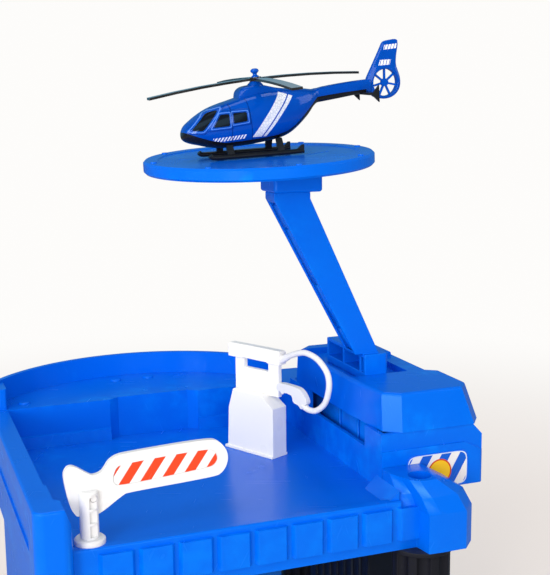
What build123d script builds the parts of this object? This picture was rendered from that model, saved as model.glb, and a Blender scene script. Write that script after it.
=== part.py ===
"""Toy parking garage with a lift: an upper parking deck on black fluted pillars, a lift tower
beside it, a leaning helipad on the tower, a road barrier, a fuel pump and a toy helicopter.

Millimetres.  +X runs to the right along the entrance side, +Y to the rear, +Z up.
The origin is the bottom centre of the base tray.
"""
from build123d import *
import os
from math import atan2, cos, pi, radians, sin, sqrt, tan

# ---------------------------------------------------------------- driving dimensions
# general
WALL = 2.4               # moulded wall of the housings
GAP = 0.3                # running gap between pieces that move
SNAP = 0.15              # gap round a piece that is pushed into another

# plan of the whole garage
DECK_WIDTH = 192.0       # deck from its outer left side to the tower
TOWER_WIDTH = 64.0
TOWER_LENGTH = 137.0
DECK_FRONT = -111.0      # front face of the deck
TOWER_SETBACK = 23.0     # tower front behind the deck front
BASE_FRONT = -122.0
BASE_REAR = 122.0

# heights above the ground
BASE_HEIGHT = 14.0       # rim of the base tray
BASE_FLOOR = 6.0
BASE_RIM = 4.0           # thickness of the rim
RAMP_LENGTH = 16.0       # open front edge of the base
BAY_RIDGE_LENGTH = 60.0
BAY_COUNT = 5
DECK_UNDERSIDE = 100.0
FLOOR_RISE = 25.0        # deck floor above the deck's underside
LIP_RISE = 2.0           # front lip above the deck floor
RIM_RISE = 26.0          # left rim and rear terrace above the deck floor
PARAPET_RISE = 14.5      # rear parapet above the terrace

# deck tray
FLOOR_THICK = 2.4
LEFT_WALL_THICK = 10.5
RIM_BAND = 11.0          # height of the raised band under the left rim
LIP_WIDTH = 5.5
SIDE_SKIRT = 4.5         # left wall below the deck's underside
SIDE_PLUG = 5.0          # side panel's reach into the hollow left wall
PANEL_PITCH = 19.8       # raised panels on the front face
PANEL_WIDTH = 14.5
PANEL_HEIGHT = 17.8
PANEL_COUNT = 9
PANEL_PROUD = 2.2
PANEL_FIRST = 31.0       # left edge of the first panel from the deck's left side
UNDER_RIB = 1.6          # thickness of the ribs under the floor
UNDER_RIB_DEPTH = 3.5

# rear terrace
RISER_SETBACK = 173.0    # riser behind the deck front
RISER_BAND = 8.0         # height of the proud band at the foot of the riser
NICHE_LEFT = 74.0        # the shallow niche in the riser, from the deck's left side
NICHE_RIGHT = 132.0
NICHE_DEPTH = 4.0
TERRACE_REAR = 126.0     # rearmost point of the round rear edge
PARAPET_ROUND = 0.583    # radius of the rear edge as a share of the deck's width
PARAPET_THICK = 3.4
STUD_RADIUS = 3.6
REAR_STRAIGHT = 44.0     # straight rear edge after the round one
PARAPET_PAST_TOWER = 10.0  # parapet's right end, right of the tower's left face

# stacking socket at the front right corner
SOCKET_WIDTH = 41.0
SOCKET_DEPTH = 34.5
SOCKET_BORE_RADIUS = 6.3
SOCKET_BORE_DEPTH = 5.0
SOCKET_BORE_SPOT = (13.6, -17.5)   # from the tower's front left edge
SOCKET_SHOULDER = 21.0   # top of the upright faces above the deck's underside
SOCKET_KNEE = 30.0       # where the sloping faces turn flatter
SOCKET_TOP = 38.0        # flat top above the deck's underside
RAMP_WIDTH = 7.0         # small slope at the foot of the socket, on the deck floor

# pillars
PILLAR_RADIUS = 15.9
PILLAR_FLUTES = 8
PILLAR_FLUTE_RADIUS = 4.0
PILLAR_CAP_RADIUS = 17.2
PILLAR_CAP_HEIGHT = 2.5
SPIGOT_RADIUS = 6.0
SPIGOT_HEIGHT = 9.0
BOSS_WALL = 2.5

# tower
TOWER_DROP = 3.4         # bottom of the tower below the deck floor
TOWER_TOP_RISE = 31.5    # top of the tower body above the deck floor
BAND_HEIGHT = 25.0       # proud lower band of the tower body
BAND_PROUD = 0.9
SHOULDER_WIDTH = 6.0     # slope along the tower's right top edge
SHOULDER_HEIGHT = 6.5
BAND_DIP = 6.1           # the band's top slopes down this much towards the right
BAND_DIP_WIDTH = 12.5
WINDOW_FRONT = 22.4      # slit window, from the tower's front
WINDOW_LENGTH = 80.6
WINDOW_SILL_RISE = 19.0  # above the deck floor
LABEL_WIDTH = 38.6
LABEL_HEIGHT = 20.5
LABEL_LEFT = 15.0        # label's left edge, from the tower's left face
LABEL_DROP = 1.75        # label's middle below the band's middle
LABEL_THICK = 0.4

# cap
CAP_HEIGHT = 21.4
CAP_OVERHANG = 1.0       # over the tower's right side
CAP_TAPER = 3.0          # how far the cap's front leans in
CAP_LEAN = 7.0           # and its right side
CAP_ROUND = 2.4          # rounding of the top edge
CAP_STEP = 46.0          # from here to the rear the cap's top is narrower
CAP_STEP_IN = 7.5
RECESS_DEPTH = 4.0
RECESS_LEFT = 3.0        # wall left of the recess
RECESS_WIDTH = 37.0
RECESS_FRONT = 47.2      # from the tower's front
RECESS_REAR_WALL = 11.0  # from the recess to the tower's rear
BUMP_START = 86.0        # raised rail beside the recess, from the tower's front
BUMP_RISE = 3.0

# lift
SHAFT_WIDTH = 40.0
SHAFT_BEHIND = 14.0      # shaft's rear, from the tower's rear
SHAFT_LEFT = 8.0         # shaft's left face, from the tower's left face
SHAFT_FRONT = 34.0       # shaft's front, from the tower's front
SHAFT_RIB_PITCH = 11.0
SHAFT_RIB_PROUD = 1.2
SHAFT_ABOVE_DECK = 5.0   # top of the shaft above the deck floor
DOOR_HEIGHT = 48.0       # ground floor entrance of the shaft
LIFT_THICK = 3.0
LIFT_LIP = 2.5
LIFT_BRACKET = 5.0
SLOT_WIDTH = 5.4
AXLE_RADIUS = 2.2
AXLE_FIT = 0.08          # radial clearance of the axle in its bracket
AXLE_RISE = 3.0          # axle above the platform's top
MODULE = 1.2
PINION_TEETH = 14
PINION_FACE = 4.0
PRESSURE_ANGLE = 20.0
BACKLASH = 0.4
RACK_BACK = 2.5
KNOB_RADIUS = 10.5
KNOB_THICK = 9.0
KNOB_LOBES = 8
KNOB_FIT = 0.03          # radial gap of the knob pressed on the axle

# helipad
ARM_FOOT_WIDTH = 15.0
ARM_FOOT_BEHIND = 23.0   # end of the foot before the recess's end
ARM_FOOT_HEIGHT = 16.0
ARM_SETBACK = 2.5        # arm behind the foot's front face
ARM_BOTTOM_WIDTH = 15.1
ARM_DEPTH = 15.0
ARM_HEIGHT = 92.5        # leaning part, above the foot
ARM_OUT = 7.2            # arm's lower left corner, from the tower's left face
ARM_LEAN_LEFT = 49.7     # how far the left and the right edge lean over
ARM_LEAN_RIGHT = 43.0
ARM_NECK = 4.0           # upright part below the collar
ARM_RIB = 2.0
ARM_POCKETS = 6
RIB_SCALLOP = 2.2
FOOT_LEFT = 12.0         # foot from the tower's left face
FOOT_BAYS = 2            # wide windows in the foot's side, behind a narrow one
FOOT_SLIT = 4.0
COLLAR_WIDTH = 29.0
COLLAR_DEPTH = 24.0
COLLAR_OUT = 44.0        # collar's left side, left of the tower
COLLAR_AHEAD = 4.5       # collar's front before the arm's front
COLLAR_RISE = 13.9       # collar's bottom to the pad's underside at the pad's middle
PAD_RADIUS = 64.2
PAD_THICK = 7.0
PAD_OUT = 47.8           # pad's middle, left of the tower
PAD_BACK = 14.3          # pad's middle behind the collar's front
PAD_TILT_X = 2.9         # the plugged-in pad leans a little, in degrees
PAD_TILT_Y = -3.0
PAD_RIM = 8.0            # width of the rim round the sunken panel
PAD_PANEL_DEPTH = 0.6
PAD_BEVEL = 1.2
PAD_TOP = 3.0            # thickness of the pad over its hollow underside
PAD_SPOKES = 4
PAD_STUDS = 8
PAD_STUD_RADIUS = 1.7
PAD_STUD_RISE = 0.6
PAD_GROOVE_WIDTH = 1.2
PAD_GROOVE_DEPTH = 0.35
PAD_GROOVES = [(-38.6, 9.9, 11.0, -22.0), (30.6, -11.7, 20.0, 29.0)]

# barrier
POST_RADIUS = 4.6
POST_FLANGE_RADIUS = 7.6
POST_FLANGE = 2.8
POST_HEIGHT = 26.0
POST_STEPS = 3
POST_SPIGOT = 3.5
POST_SPIGOT_LENGTH = 12.0
PIVOT_RISE = 22.6        # hinge above the lip
PIVOT_RIGHT = 2.0        # hinge to the right of the post's middle
LOBE_REACH = 12.2        # lowest reach of the counterweight below the hinge when it swings
ARM_PLATE = 3.0
BARRIER_RECESS = 0.6
BARRIER_ROUND = 2.2      # rounding of the outline's corners
BARRIER_PIN_RADIUS = 1.6
BARRIER_EDGE = [(-11.3, 12.2), (-6.3, 16.3), (2.6, 10.3), (8.0, 13.1), (14.4, 19.7), (61.2, 21.9),
                (70.8, 11.1), (63.4, 2.1), (17.7, -0.6), (4.9, -9.0), (-5.2, -9.1), (-8.9, -4.0)]
BARRIER_STRIPES = [(12.1, 7.8), (16.7, 14.5), (61.0, 17.0), (65.3, 13.2), (59.2, 7.2), (14.7, 3.7)]

# pump
PUMP_WIDTH = 39.5
PUMP_DEPTH = 12.0
PUMP_HEIGHT = 66.0
PUMP_SHOULDER = 38.4     # top of the pump's body
PUMP_HEAD = 57.5         # underside of the pump's head
PUMP_FROM_TOWER = 54.2   # pump's base corner, left of the tower
PUMP_BACK = 130.8        # and from the deck's front
PUMP_TURN = -63.4        # the pump's width axis from +X, in degrees
HOSE_DIAMETER = 3.3
HOSE_PORT_Z = 61.0
HOSE_BEND = 12.0
NOZZLE_THICK = 3.6

# helicopter
CABIN_ROWS = [(-43.2, 11.5, 16.0, 4.5), (-41.0, 9.4, 19.6, 7.0), (-36.0, 7.8, 23.2, 9.6),
              (-25.0, 5.8, 28.6, 12.3), (-12.0, 6.4, 32.2, 13.3), (4.0, 8.0, 35.2, 13.3),
              (16.0, 10.0, 35.8, 12.4), (26.0, 17.6, 35.0, 9.5),
              (35.0, 27.0, 33.2, 4.5)]   # x, bottom, top, half width
HELI_WALL = 1.4
COWL_HALF = 5.5
COWL_TOP = 39.1
SKID_SPREAD = 21.0
SKID_LENGTH = 54.5
SKID_REAR = 23.5
SKID_RADIUS = 1.4
SKID_STRUTS = (-19.3, 9.6)
MAST_RADIUS = 1.2
HUB_Z = 40.6
ROTOR_RADIUS = 61.0
ROTOR_BLADES = 4
ROTOR_ROOT = 9.0
ROTOR_LEAN = 3.7
BLADE_CHORD = 6.0
BLADE_ROOT_HALF = 1.8
BLADE_THICK = 1.3
BLADE_DROOP = 3.5
CAP_KNOB_RADIUS = 2.3
CAP_KNOB_TOP = 47.3
BOOM_STRIP_END = 63.0    # the black strip under the boom ends here
FAN_CENTRE = (78.2, 35.6)
FAN_RADIUS = 7.5
FAN_WALL = 2.8
FAN_RING_DEPTH = 4.4
FAN_SPOKES = 7
STABILISER_Z = 30.3
STABILISER_HALF = 13.0

# ---------------------------------------------------------------- derived places
left = -(DECK_WIDTH + TOWER_WIDTH) / 2
deck_right = left + DECK_WIDTH
right = deck_right + TOWER_WIDTH
tower_front = DECK_FRONT + TOWER_SETBACK
tower_rear = tower_front + TOWER_LENGTH
floor_z = DECK_UNDERSIDE + FLOOR_RISE
lip_z = floor_z + LIP_RISE
terrace_z = floor_z + RIM_RISE
sill_z = floor_z + WINDOW_SILL_RISE
parapet_z = terrace_z + PARAPET_RISE
tower_bottom = floor_z - TOWER_DROP
tower_top = floor_z + TOWER_TOP_RISE
cap_top = tower_top + CAP_HEIGHT
riser_y = DECK_FRONT + RISER_SETBACK
tray_rear = riser_y + NICHE_DEPTH + 10.0        # the deck tray reaches under the terrace
left_inner = left + LEFT_WALL_THICK
shaft_left = deck_right + SHAFT_LEFT
shaft_right = shaft_left + SHAFT_WIDTH
shaft_front = tower_front + SHAFT_FRONT
shaft_rear = tower_rear - SHAFT_BEHIND
shaft_top = floor_z + SHAFT_ABOVE_DECK
lift_low = BASE_FLOOR + LIFT_THICK        # top of the platform, lift down
lift_travel = terrace_z - lift_low
axle_y = (shaft_front + shaft_rear) / 2
axle_z = lift_low + AXLE_RISE
knob_face = right + CAP_OVERHANG + GAP    # knob's inner face, clear of the cap above it
pitch_radius = MODULE * PINION_TEETH / 2
pinion_tip = pitch_radius + 0.9 * MODULE
post_x, post_y = left + 28.5, DECK_FRONT + 8.5
parapet_radius = PARAPET_ROUND * DECK_WIDTH
arc_centre = (left + 0.49 * DECK_WIDTH, TERRACE_REAR - parapet_radius)   # middle of the round rear edge
arc_end_x = deck_right - 22.0
recess_front = tower_front + RECESS_FRONT
recess_rear = tower_rear - RECESS_REAR_WALL
foot_front = recess_front + SNAP
foot_rear = recess_rear - ARM_FOOT_BEHIND
foot_top = cap_top - RECESS_DEPTH + ARM_FOOT_HEIGHT
arm_left = deck_right + ARM_OUT
arm_front = foot_front + ARM_SETBACK
collar_z = foot_top + ARM_HEIGHT + ARM_NECK
collar_left = deck_right - COLLAR_OUT
collar_front = arm_front - COLLAR_AHEAD
pad_x, pad_y = deck_right - PAD_OUT, collar_front + PAD_BACK
pad_z = collar_z + COLLAR_RISE + PAD_THICK
pad_place = Location((pad_x, pad_y, pad_z), (PAD_TILT_X, PAD_TILT_Y, 0))
pivot_x, pivot_z = post_x + PIVOT_RIGHT, lip_z + PIVOT_RISE
pump_place = Location((deck_right - PUMP_FROM_TOWER, DECK_FRONT + PUMP_BACK, floor_z), (0, 0, PUMP_TURN))
heli_place = pad_place * Location((0, 0, GAP - PAD_PANEL_DEPTH))
rotor_lean = Pos(0, 0, HUB_Z) * Rot(0, -ROTOR_LEAN, 0) * Pos(0, 0, -HUB_Z)
BASE = (Align.CENTER, Align.CENTER, Align.MIN)


def block(x0, x1, y0, y1, z0, z1):
    """A box between two corners."""
    box = Box(x1 - x0, y1 - y0, z1 - z0)
    return Pos((x0 + x1) / 2, (y0 + y1) / 2, (z0 + z1) / 2) * box


def prism(points, z0, z1):
    """An upright prism on a plan outline."""
    face = make_face(Polyline(*points, close=True))
    return Pos(0, 0, z0) * extrude(face, z1 - z0)


def side_plate(points, y0, y1):
    """A plate with an outline in X and Z, between two Y."""
    face = make_face(Polyline(*[(x, 0, z) for x, z in points], close=True))
    return Pos(0, y0, 0) * extrude(face, y1 - y0, dir=(0, 1, 0))


def rod(start, end, radius):
    """A round bar between two points."""
    axis = Vector(*end) - Vector(*start)
    plane = Plane(origin=start, z_dir=axis)
    return plane * Cylinder(radius, axis.length, align=(Align.CENTER, Align.CENTER, Align.MIN))


def as_one(shape):
    """One solid out of a result that may come back as a list."""
    return Compound(children=list(shape)) if isinstance(shape, ShapeList) else shape


def round_verticals(shape, radius):
    """Round the upright edges of a shape."""
    return fillet(shape.edges().filter_by(Axis.Z), radius)


# ---------------------------------------------------------------- ground floor
pillar_spots = {
    "front_right": (deck_right + 15.3, tower_front - 17.0),
    "front_left": (left + 34.0, DECK_FRONT + 34.0),
    "rear_left": (left + 36.0, tray_rear + 12.0),
    "rear_right": (deck_right + 18.0, tower_rear + 19.5),
}


def base_tray():
    """Shallow ground tray: rim on three sides, ramped front edge, parking bay ridges."""
    tray = round_verticals(block(left, right, BASE_FRONT, BASE_REAR, 0, BASE_HEIGHT), 12.0)
    rim = BASE_RIM
    tray -= block(left + rim, right - rim, BASE_FRONT - 1, BASE_REAR - rim, BASE_FLOOR, BASE_HEIGHT + 1)
    front_cut = block(left - 1, right + 1, BASE_FRONT - 1, BASE_FRONT + RAMP_LENGTH, BASE_FLOOR,
                      BASE_HEIGHT + 1)
    tray -= front_cut
    ramp = BASE_FLOOR - 1.5
    wedge = [(BASE_FRONT - 1, BASE_FLOOR + 1), (BASE_FRONT - 1, 1.5), (BASE_FRONT, 1.5),
             (BASE_FRONT + 2.0 * ramp, BASE_FLOOR), (BASE_FRONT + 2.0 * ramp, BASE_FLOOR + 1)]
    face = make_face(Polyline(*[(left - 1, y, z) for y, z in wedge], close=True))
    tray -= extrude(face, DECK_WIDTH + TOWER_WIDTH + 2, dir=(1, 0, 0))
    knob_gap = KNOB_RADIUS + 4.0
    tray -= block(right - rim - 1, right + 1, axle_y - knob_gap, axle_y + knob_gap,
                  BASE_FLOOR, BASE_HEIGHT + 1)
    bay_pitch = DECK_WIDTH / BAY_COUNT
    for bay in range(1, BAY_COUNT):
        x = left + bay * bay_pitch
        tray += block(x - 1.0, x + 1.0, 0, BAY_RIDGE_LENGTH, BASE_FLOOR, BASE_FLOOR + 0.8)
    tray -= underside_pockets(left + WALL, right - WALL, BASE_FRONT + 14.0, BASE_REAR - WALL)
    return tray - pinion_well(0)


def pinion_well(margin):
    """Room for the pinion in the base floor while the lift is down."""
    reach = pinion_tip + GAP + margin
    return block(shaft_right - margin, shaft_right + PINION_FACE + GAP + margin,
                 axle_y - reach, axle_y + reach, axle_z - reach, BASE_HEIGHT)


def underside_pockets(x0, x1, y0, y1):
    """The hollow underside of the base: pockets that leave ribs and a middle landing."""
    columns, rows, rib = 6, 5, 2.0
    step_x, step_y = (x1 - x0) / columns, (y1 - y0) / rows
    depth = BASE_FLOOR - WALL
    pockets = []
    for i in range(columns):
        for j in range(rows):
            cell = block(x0 + i * step_x + rib, x0 + (i + 1) * step_x - rib,
                         y0 + j * step_y + rib, y0 + (j + 1) * step_y - rib, -1, depth)
            pockets.append(cell)
    landing = Cylinder(20.0, 4.0 * depth)
    return Compound(children=pockets) - landing - pinion_well(WALL)


def side_wall():
    """Panel that closes the left side under the deck, with two rounded windows."""
    x0 = left + BASE_RIM
    y0, y1 = DECK_FRONT + 12.0, riser_y - 6.0
    panel = block(x0, x0 + WALL, y0, y1, BASE_FLOOR, DECK_UNDERSIDE - SIDE_SKIRT + SIDE_PLUG)
    for y in (y0 + 0.3 * (y1 - y0), y0 + 0.7 * (y1 - y0)):
        window = extrude(Plane.YZ * RectangleRounded(44.0, 22.0, 6.0), 4.0 * WALL, both=True)
        panel -= Pos(x0, y, BASE_HEIGHT + 18.0) * window
    return panel


def pillar(name):
    """Black fluted pillar with a foot disc, a collar and a spigot that plugs into the deck."""
    x, y = pillar_spots[name]
    height = DECK_UNDERSIDE - BASE_FLOOR
    plan = Circle(PILLAR_RADIUS)
    for k in range(PILLAR_FLUTES):
        plan -= Rot(0, 0, 360.0 * (k + 0.5) / PILLAR_FLUTES) * Pos(PILLAR_RADIUS + 1.2, 0) * Circle(
            PILLAR_FLUTE_RADIUS)
    shaft = extrude(plan, height)
    foot = extrude(Circle(PILLAR_RADIUS + 1.0), 4.0)
    collar = Pos(0, 0, height - PILLAR_CAP_HEIGHT) * extrude(Circle(PILLAR_CAP_RADIUS), PILLAR_CAP_HEIGHT)
    spigot = Pos(0, 0, height) * Cylinder(SPIGOT_RADIUS, SPIGOT_HEIGHT, align=BASE)
    spigot = chamfer(spigot.edges().group_by(Axis.Z)[-1], 1.0)
    column = shaft + foot + collar + spigot
    column -= Cylinder(PILLAR_RADIUS - 6.5, height - 2.0 * WALL, align=BASE)
    return Pos(x, y, BASE_FLOOR) * column


# ---------------------------------------------------------------- upper deck
def deck_tray():
    """Parking deck: floor on ribs, panelled front wall with a lip, left rim wall, tower curb."""
    under = floor_z - FLOOR_THICK
    tray = block(left, deck_right, DECK_FRONT, tray_rear, under, floor_z)
    tray += block(left, deck_right, DECK_FRONT, DECK_FRONT + WALL, DECK_UNDERSIDE, lip_z)
    tray += block(left, deck_right, tray_rear - WALL, tray_rear, DECK_UNDERSIDE, floor_z)
    tray += block(deck_right - WALL, deck_right, DECK_FRONT, tray_rear, DECK_UNDERSIDE, floor_z)
    tray += block(left, deck_right, DECK_FRONT, DECK_FRONT + LIP_WIDTH, floor_z, lip_z)
    front_top = tray.edges().filter_by(Axis.X).sort_by(lambda e: e.center().Y - e.center().Z)[0]
    tray = fillet(front_top, 1.2)
    ramp = [(deck_right, under), (deck_right, floor_z + RAMP_WIDTH), (deck_right - RAMP_WIDTH, floor_z),
            (deck_right - RAMP_WIDTH, under)]
    tray += side_plate(ramp, DECK_FRONT + WALL, tower_front + RAMP_WIDTH)
    tray += under_ribs(under)
    for k in range(PANEL_COUNT):
        tray += front_panel(k) & block(left, deck_right, DECK_FRONT - 9, DECK_FRONT + 9, 0, lip_z)
    tray += left_rim_wall()
    tray += Pos(post_x, post_y, DECK_UNDERSIDE + 8.0) * Cylinder(
        POST_FLANGE_RADIUS + 0.8, lip_z - DECK_UNDERSIDE - 8.0, align=BASE)
    tray += deck_boss("front_left", under)
    tray -= Pos(post_x, post_y, DECK_UNDERSIDE) * Cylinder(POST_SPIGOT + SNAP, 40.0, align=BASE)
    tray -= boss_hole("front_left")
    return tray


def deck_boss(name, top):
    """Boss under the deck that a pillar's spigot plugs into."""
    x, y = pillar_spots[name]
    radius = SPIGOT_RADIUS + SNAP + BOSS_WALL
    return Pos(x, y, DECK_UNDERSIDE) * Cylinder(radius, top - DECK_UNDERSIDE, align=BASE)


def boss_hole(name):
    x, y = pillar_spots[name]
    hole = Cylinder(SPIGOT_RADIUS + SNAP, SPIGOT_HEIGHT + 1.0, align=BASE)
    return Pos(x, y, DECK_UNDERSIDE) * hole


def under_ribs(top):
    """Crossing ribs under the deck floor."""
    ribs = []
    low = top - UNDER_RIB_DEPTH
    for k in range(1, 5):
        y = DECK_FRONT + k * (tray_rear - DECK_FRONT) / 5.0
        ribs.append(block(left_inner, deck_right - WALL, y - UNDER_RIB / 2, y + UNDER_RIB / 2, low, top))
    for k in range(1, 5):
        x = left_inner + k * (deck_right - left_inner) / 5.0
        ribs.append(block(x - UNDER_RIB / 2, x + UNDER_RIB / 2, DECK_FRONT + WALL, tray_rear - WALL, low,
                          top))
    return ribs


def front_panel(k):
    """One raised panel with bevelled sides on the deck's front face."""
    top = lip_z - 3.4
    x0 = left + PANEL_FIRST + k * PANEL_PITCH
    x1 = x0 + PANEL_WIDTH
    outline = [(x0, DECK_FRONT + 0.5), (x0, DECK_FRONT), (x0 + PANEL_PROUD, DECK_FRONT - PANEL_PROUD),
               (x1 - PANEL_PROUD, DECK_FRONT - PANEL_PROUD), (x1, DECK_FRONT), (x1, DECK_FRONT + 0.5)]
    return prism(outline, top - PANEL_HEIGHT, top)


def left_rim_wall():
    """Hollow rim wall on the left, with a rounded nose that stands forward of the deck."""
    bottom = DECK_UNDERSIDE - SIDE_SKIRT
    nose_front = DECK_FRONT - 8.0
    nose_rear = DECK_FRONT + 3.0
    nose_right = left + 18.5
    plan = [(left, riser_y), (left, nose_front), (nose_right, nose_front), (nose_right, nose_rear),
            (left_inner + 1.2, nose_rear + 5.0), (left_inner + 1.2, DECK_FRONT + 31.0),
            (left_inner, DECK_FRONT + 31.0), (left_inner, riser_y)]
    wall = prism(plan, bottom, terrace_z)
    front_edges = wall.edges().filter_by(Axis.Z).group_by(Axis.Y)[0]
    wall = fillet(front_edges, 5.5)
    nose_edge = wall.edges().group_by(Axis.Z)[-1].filter_by(Axis.X)
    wall = fillet(nose_edge, 1.5)
    nose_shave = side_plate([(nose_right + 1, terrace_z + 1), (nose_right - 4.0, terrace_z + 1),
                             (nose_right - 4.0, terrace_z), (nose_right - 1.0, terrace_z - 8.0),
                             (nose_right, floor_z + 2.0), (nose_right + 1, floor_z + 2.0)],
                            nose_front - 1, nose_rear + 7.0)
    wall -= nose_shave
    cavity = [(left + WALL + 1.0, riser_y - WALL), (left + WALL + 1.0, nose_front + 8.0),
              (left_inner - WALL, nose_front + 8.0), (left_inner - WALL, riser_y - WALL)]
    wall -= prism(cavity, bottom - 1, terrace_z - WALL)
    side_groove = block(left - 1, left + 1.0, nose_rear + 10.0, riser_y + 1, bottom - 1,
                        terrace_z - RIM_BAND)
    return wall - side_groove


def terrace_plan(inset=0.0):
    """Plan of the rear terrace: a niche in its riser, a round rear left, cut corners at the right."""
    radius = parapet_radius - inset
    cx, cy = arc_centre
    x_left, x_right, x_end = left + inset, right - inset, arc_end_x
    y_left = cy + sqrt(radius**2 - (x_left - cx)**2)
    y_end = cy + sqrt(radius**2 - (x_end - cx)**2)
    front = riser_y + inset
    niche = front + NICHE_DEPTH
    slope = 6.0
    n0, n1 = left + NICHE_LEFT - inset, left + NICHE_RIGHT + inset
    tower_side = tower_rear + inset
    points = [(x_end, y_end), (x_end + REAR_STRAIGHT, y_end - 2.0), (x_right, tower_rear + 24.0 - inset),
              (x_right, tower_side), (deck_right + inset, tower_side), (deck_right + inset, front),
              (n1, front), (n1 - slope, niche), (n0 + slope, niche), (n0, front),
              (x_left, front), (x_left, y_left)]
    straight = Polyline(*points)
    middle = (cx, cy + radius)
    return make_face([straight, ThreePointArc((x_left, y_left), middle, (x_end, y_end))])


def rear_terrace():
    """Raised rear platform: riser with a proud foot band, top plate, curved parapet, round studs."""
    shell = Pos(0, 0, DECK_UNDERSIDE) * extrude(terrace_plan(), terrace_z - DECK_UNDERSIDE)
    shell -= Pos(0, 0, DECK_UNDERSIDE - 1) * extrude(terrace_plan(WALL),
                                                     terrace_z - DECK_UNDERSIDE + 1 - WALL)
    shell -= block(left - 1, deck_right, riser_y - 1, tray_rear, DECK_UNDERSIDE - 1, floor_z)
    shell += terrace_band()
    shell += parapet()
    for x, y in ((left + 22.0, riser_y + 12.0), (left + 88.0, riser_y + 47.0),
                 (left + 110.5, riser_y + 47.0)):
        stud = Pos(x, y, terrace_z) * Cylinder(STUD_RADIUS, 1.2, align=BASE)
        shell += fillet(stud.edges().group_by(Axis.Z)[-1], 0.8)
    for name in ("rear_left", "rear_right"):
        shell += deck_boss(name, terrace_z - WALL)
        shell -= boss_hole(name)
    return shell


def terrace_band():
    """Proud band along the riser's foot on both sides of the niche."""
    proud = 1.5
    profile = [(riser_y + 0.5, floor_z), (riser_y - proud - 0.6, floor_z),
               (riser_y - proud, floor_z + RISER_BAND - 0.8), (riser_y, floor_z + RISER_BAND),
               (riser_y + 0.5, floor_z + RISER_BAND)]
    face = make_face(Polyline(*[(0, y, z) for y, z in profile], close=True))
    left_band = Pos(left_inner, 0, 0) * extrude(face, NICHE_LEFT - LEFT_WALL_THICK, dir=(1, 0, 0))
    right_band = Pos(left + NICHE_RIGHT, 0, 0) * extrude(face, DECK_WIDTH - NICHE_RIGHT, dir=(1, 0, 0))
    return [left_band, right_band]


def parapet():
    """Curved wall along the terrace's rear edge, cut off slanting at its right end."""
    outer = terrace_plan()
    inner = terrace_plan(PARAPET_THICK)
    height = parapet_z - terrace_z
    ring = extrude(outer, height) - extrude(inner, height)
    end_x = deck_right + PARAPET_PAST_TOWER
    keep = [(end_x, terrace_z), (end_x - 4.0, parapet_z - 3.0), (end_x - 7.0, parapet_z),
            (left - 1, parapet_z), (left - 1, terrace_z)]
    wall = Pos(0, 0, terrace_z) * ring & side_plate(keep, riser_y + NICHE_DEPTH + 6.0, BASE_REAR + 10.0)
    corner = block(left, left_inner, riser_y + 1.7, riser_y + 22.0, terrace_z, parapet_z - 1.5)
    corner = round_verticals(corner, 1.5)
    wall = as_one(wall) + corner
    return wall & (Pos(0, 0, terrace_z) * extrude(outer, height))


def socket_ring(points, rise):
    """One level of the corner housing, in plan from the tower's front left edge."""
    z = DECK_UNDERSIDE + rise
    back = -LABEL_THICK - SNAP
    corners = [(0, back)] + points + [(points[-1][0], back)]
    return make_face(Polyline(*[(deck_right + x, tower_front + y, z) for x, y in corners], close=True))


def corner_socket():
    """Corner housing over the front right pillar: sloping faces, with a stacking socket on top."""
    flush = -TOWER_SETBACK
    front = -SOCKET_DEPTH
    low = [(0, flush), (9.5, flush), (11.0, front + 0.5), (18.3, front), (33.0, front),
           (SOCKET_WIDTH, front + 8.5)]
    knee = [(0, -17.0), (6.5, -21.5), (8.8, -29.0), (13.5, -32.0), (29.0, -31.0), (37.0, -23.0)]
    high = [(0, -9.0), (2.5, -16.0), (5.0, -22.5), (9.0, -26.5), (19.0, -26.5), (23.0, -20.0)]
    housing = extrude(socket_ring(low, 0), SOCKET_SHOULDER)
    housing += loft([socket_ring(low, SOCKET_SHOULDER), socket_ring(knee, SOCKET_KNEE)], ruled=True)
    housing += loft([socket_ring(knee, SOCKET_KNEE), socket_ring(high, SOCKET_TOP)], ruled=True)
    inside = offset(socket_ring(low, 0), -WALL)
    housing -= Pos(0, 0, -1) * extrude(inside, SOCKET_SHOULDER + 1 - WALL)
    shoulder = DECK_UNDERSIDE + SOCKET_SHOULDER
    housing += deck_boss("front_right", shoulder)
    housing -= boss_hole("front_right")
    end_panel = block(deck_right, deck_right + 11.0, DECK_FRONT - 9, DECK_FRONT + 2, 0, lip_z)
    housing += front_panel(PANEL_COUNT - 1) & end_panel
    x, y = SOCKET_BORE_SPOT
    bore = Cylinder(SOCKET_BORE_RADIUS, 2 * SOCKET_BORE_DEPTH, align=BASE)
    bore_z = DECK_UNDERSIDE + SOCKET_TOP - SOCKET_BORE_DEPTH
    return housing - Pos(deck_right + x, tower_front + y, bore_z) * bore


# ---------------------------------------------------------------- lift tower
def tower_section(inset):
    """The tower's cross section: upright sides with a slope along the right top edge."""
    x0, x1 = deck_right + inset, right - BAND_PROUD - inset
    low, knee = tower_bottom + inset, tower_top - SHOULDER_HEIGHT - 0.4 * inset
    return [(x0, low), (x1, low), (x1, knee), (x1 - SHOULDER_WIDTH, tower_top), (x0, tower_top)]


def tower_band():
    """Proud lower band, whose top slopes down towards the tower's right edge."""
    low = tower_bottom
    high = low + BAND_HEIGHT
    outline = [(deck_right, low), (right, low), (right, high - BAND_DIP), (right - BAND_DIP_WIDTH, high),
               (deck_right, high)]
    band = side_plate(outline, tower_front, tower_rear)
    return fillet(band.edges().filter_by(Axis.Z).group_by(Axis.X)[-1], 3.0)


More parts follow.
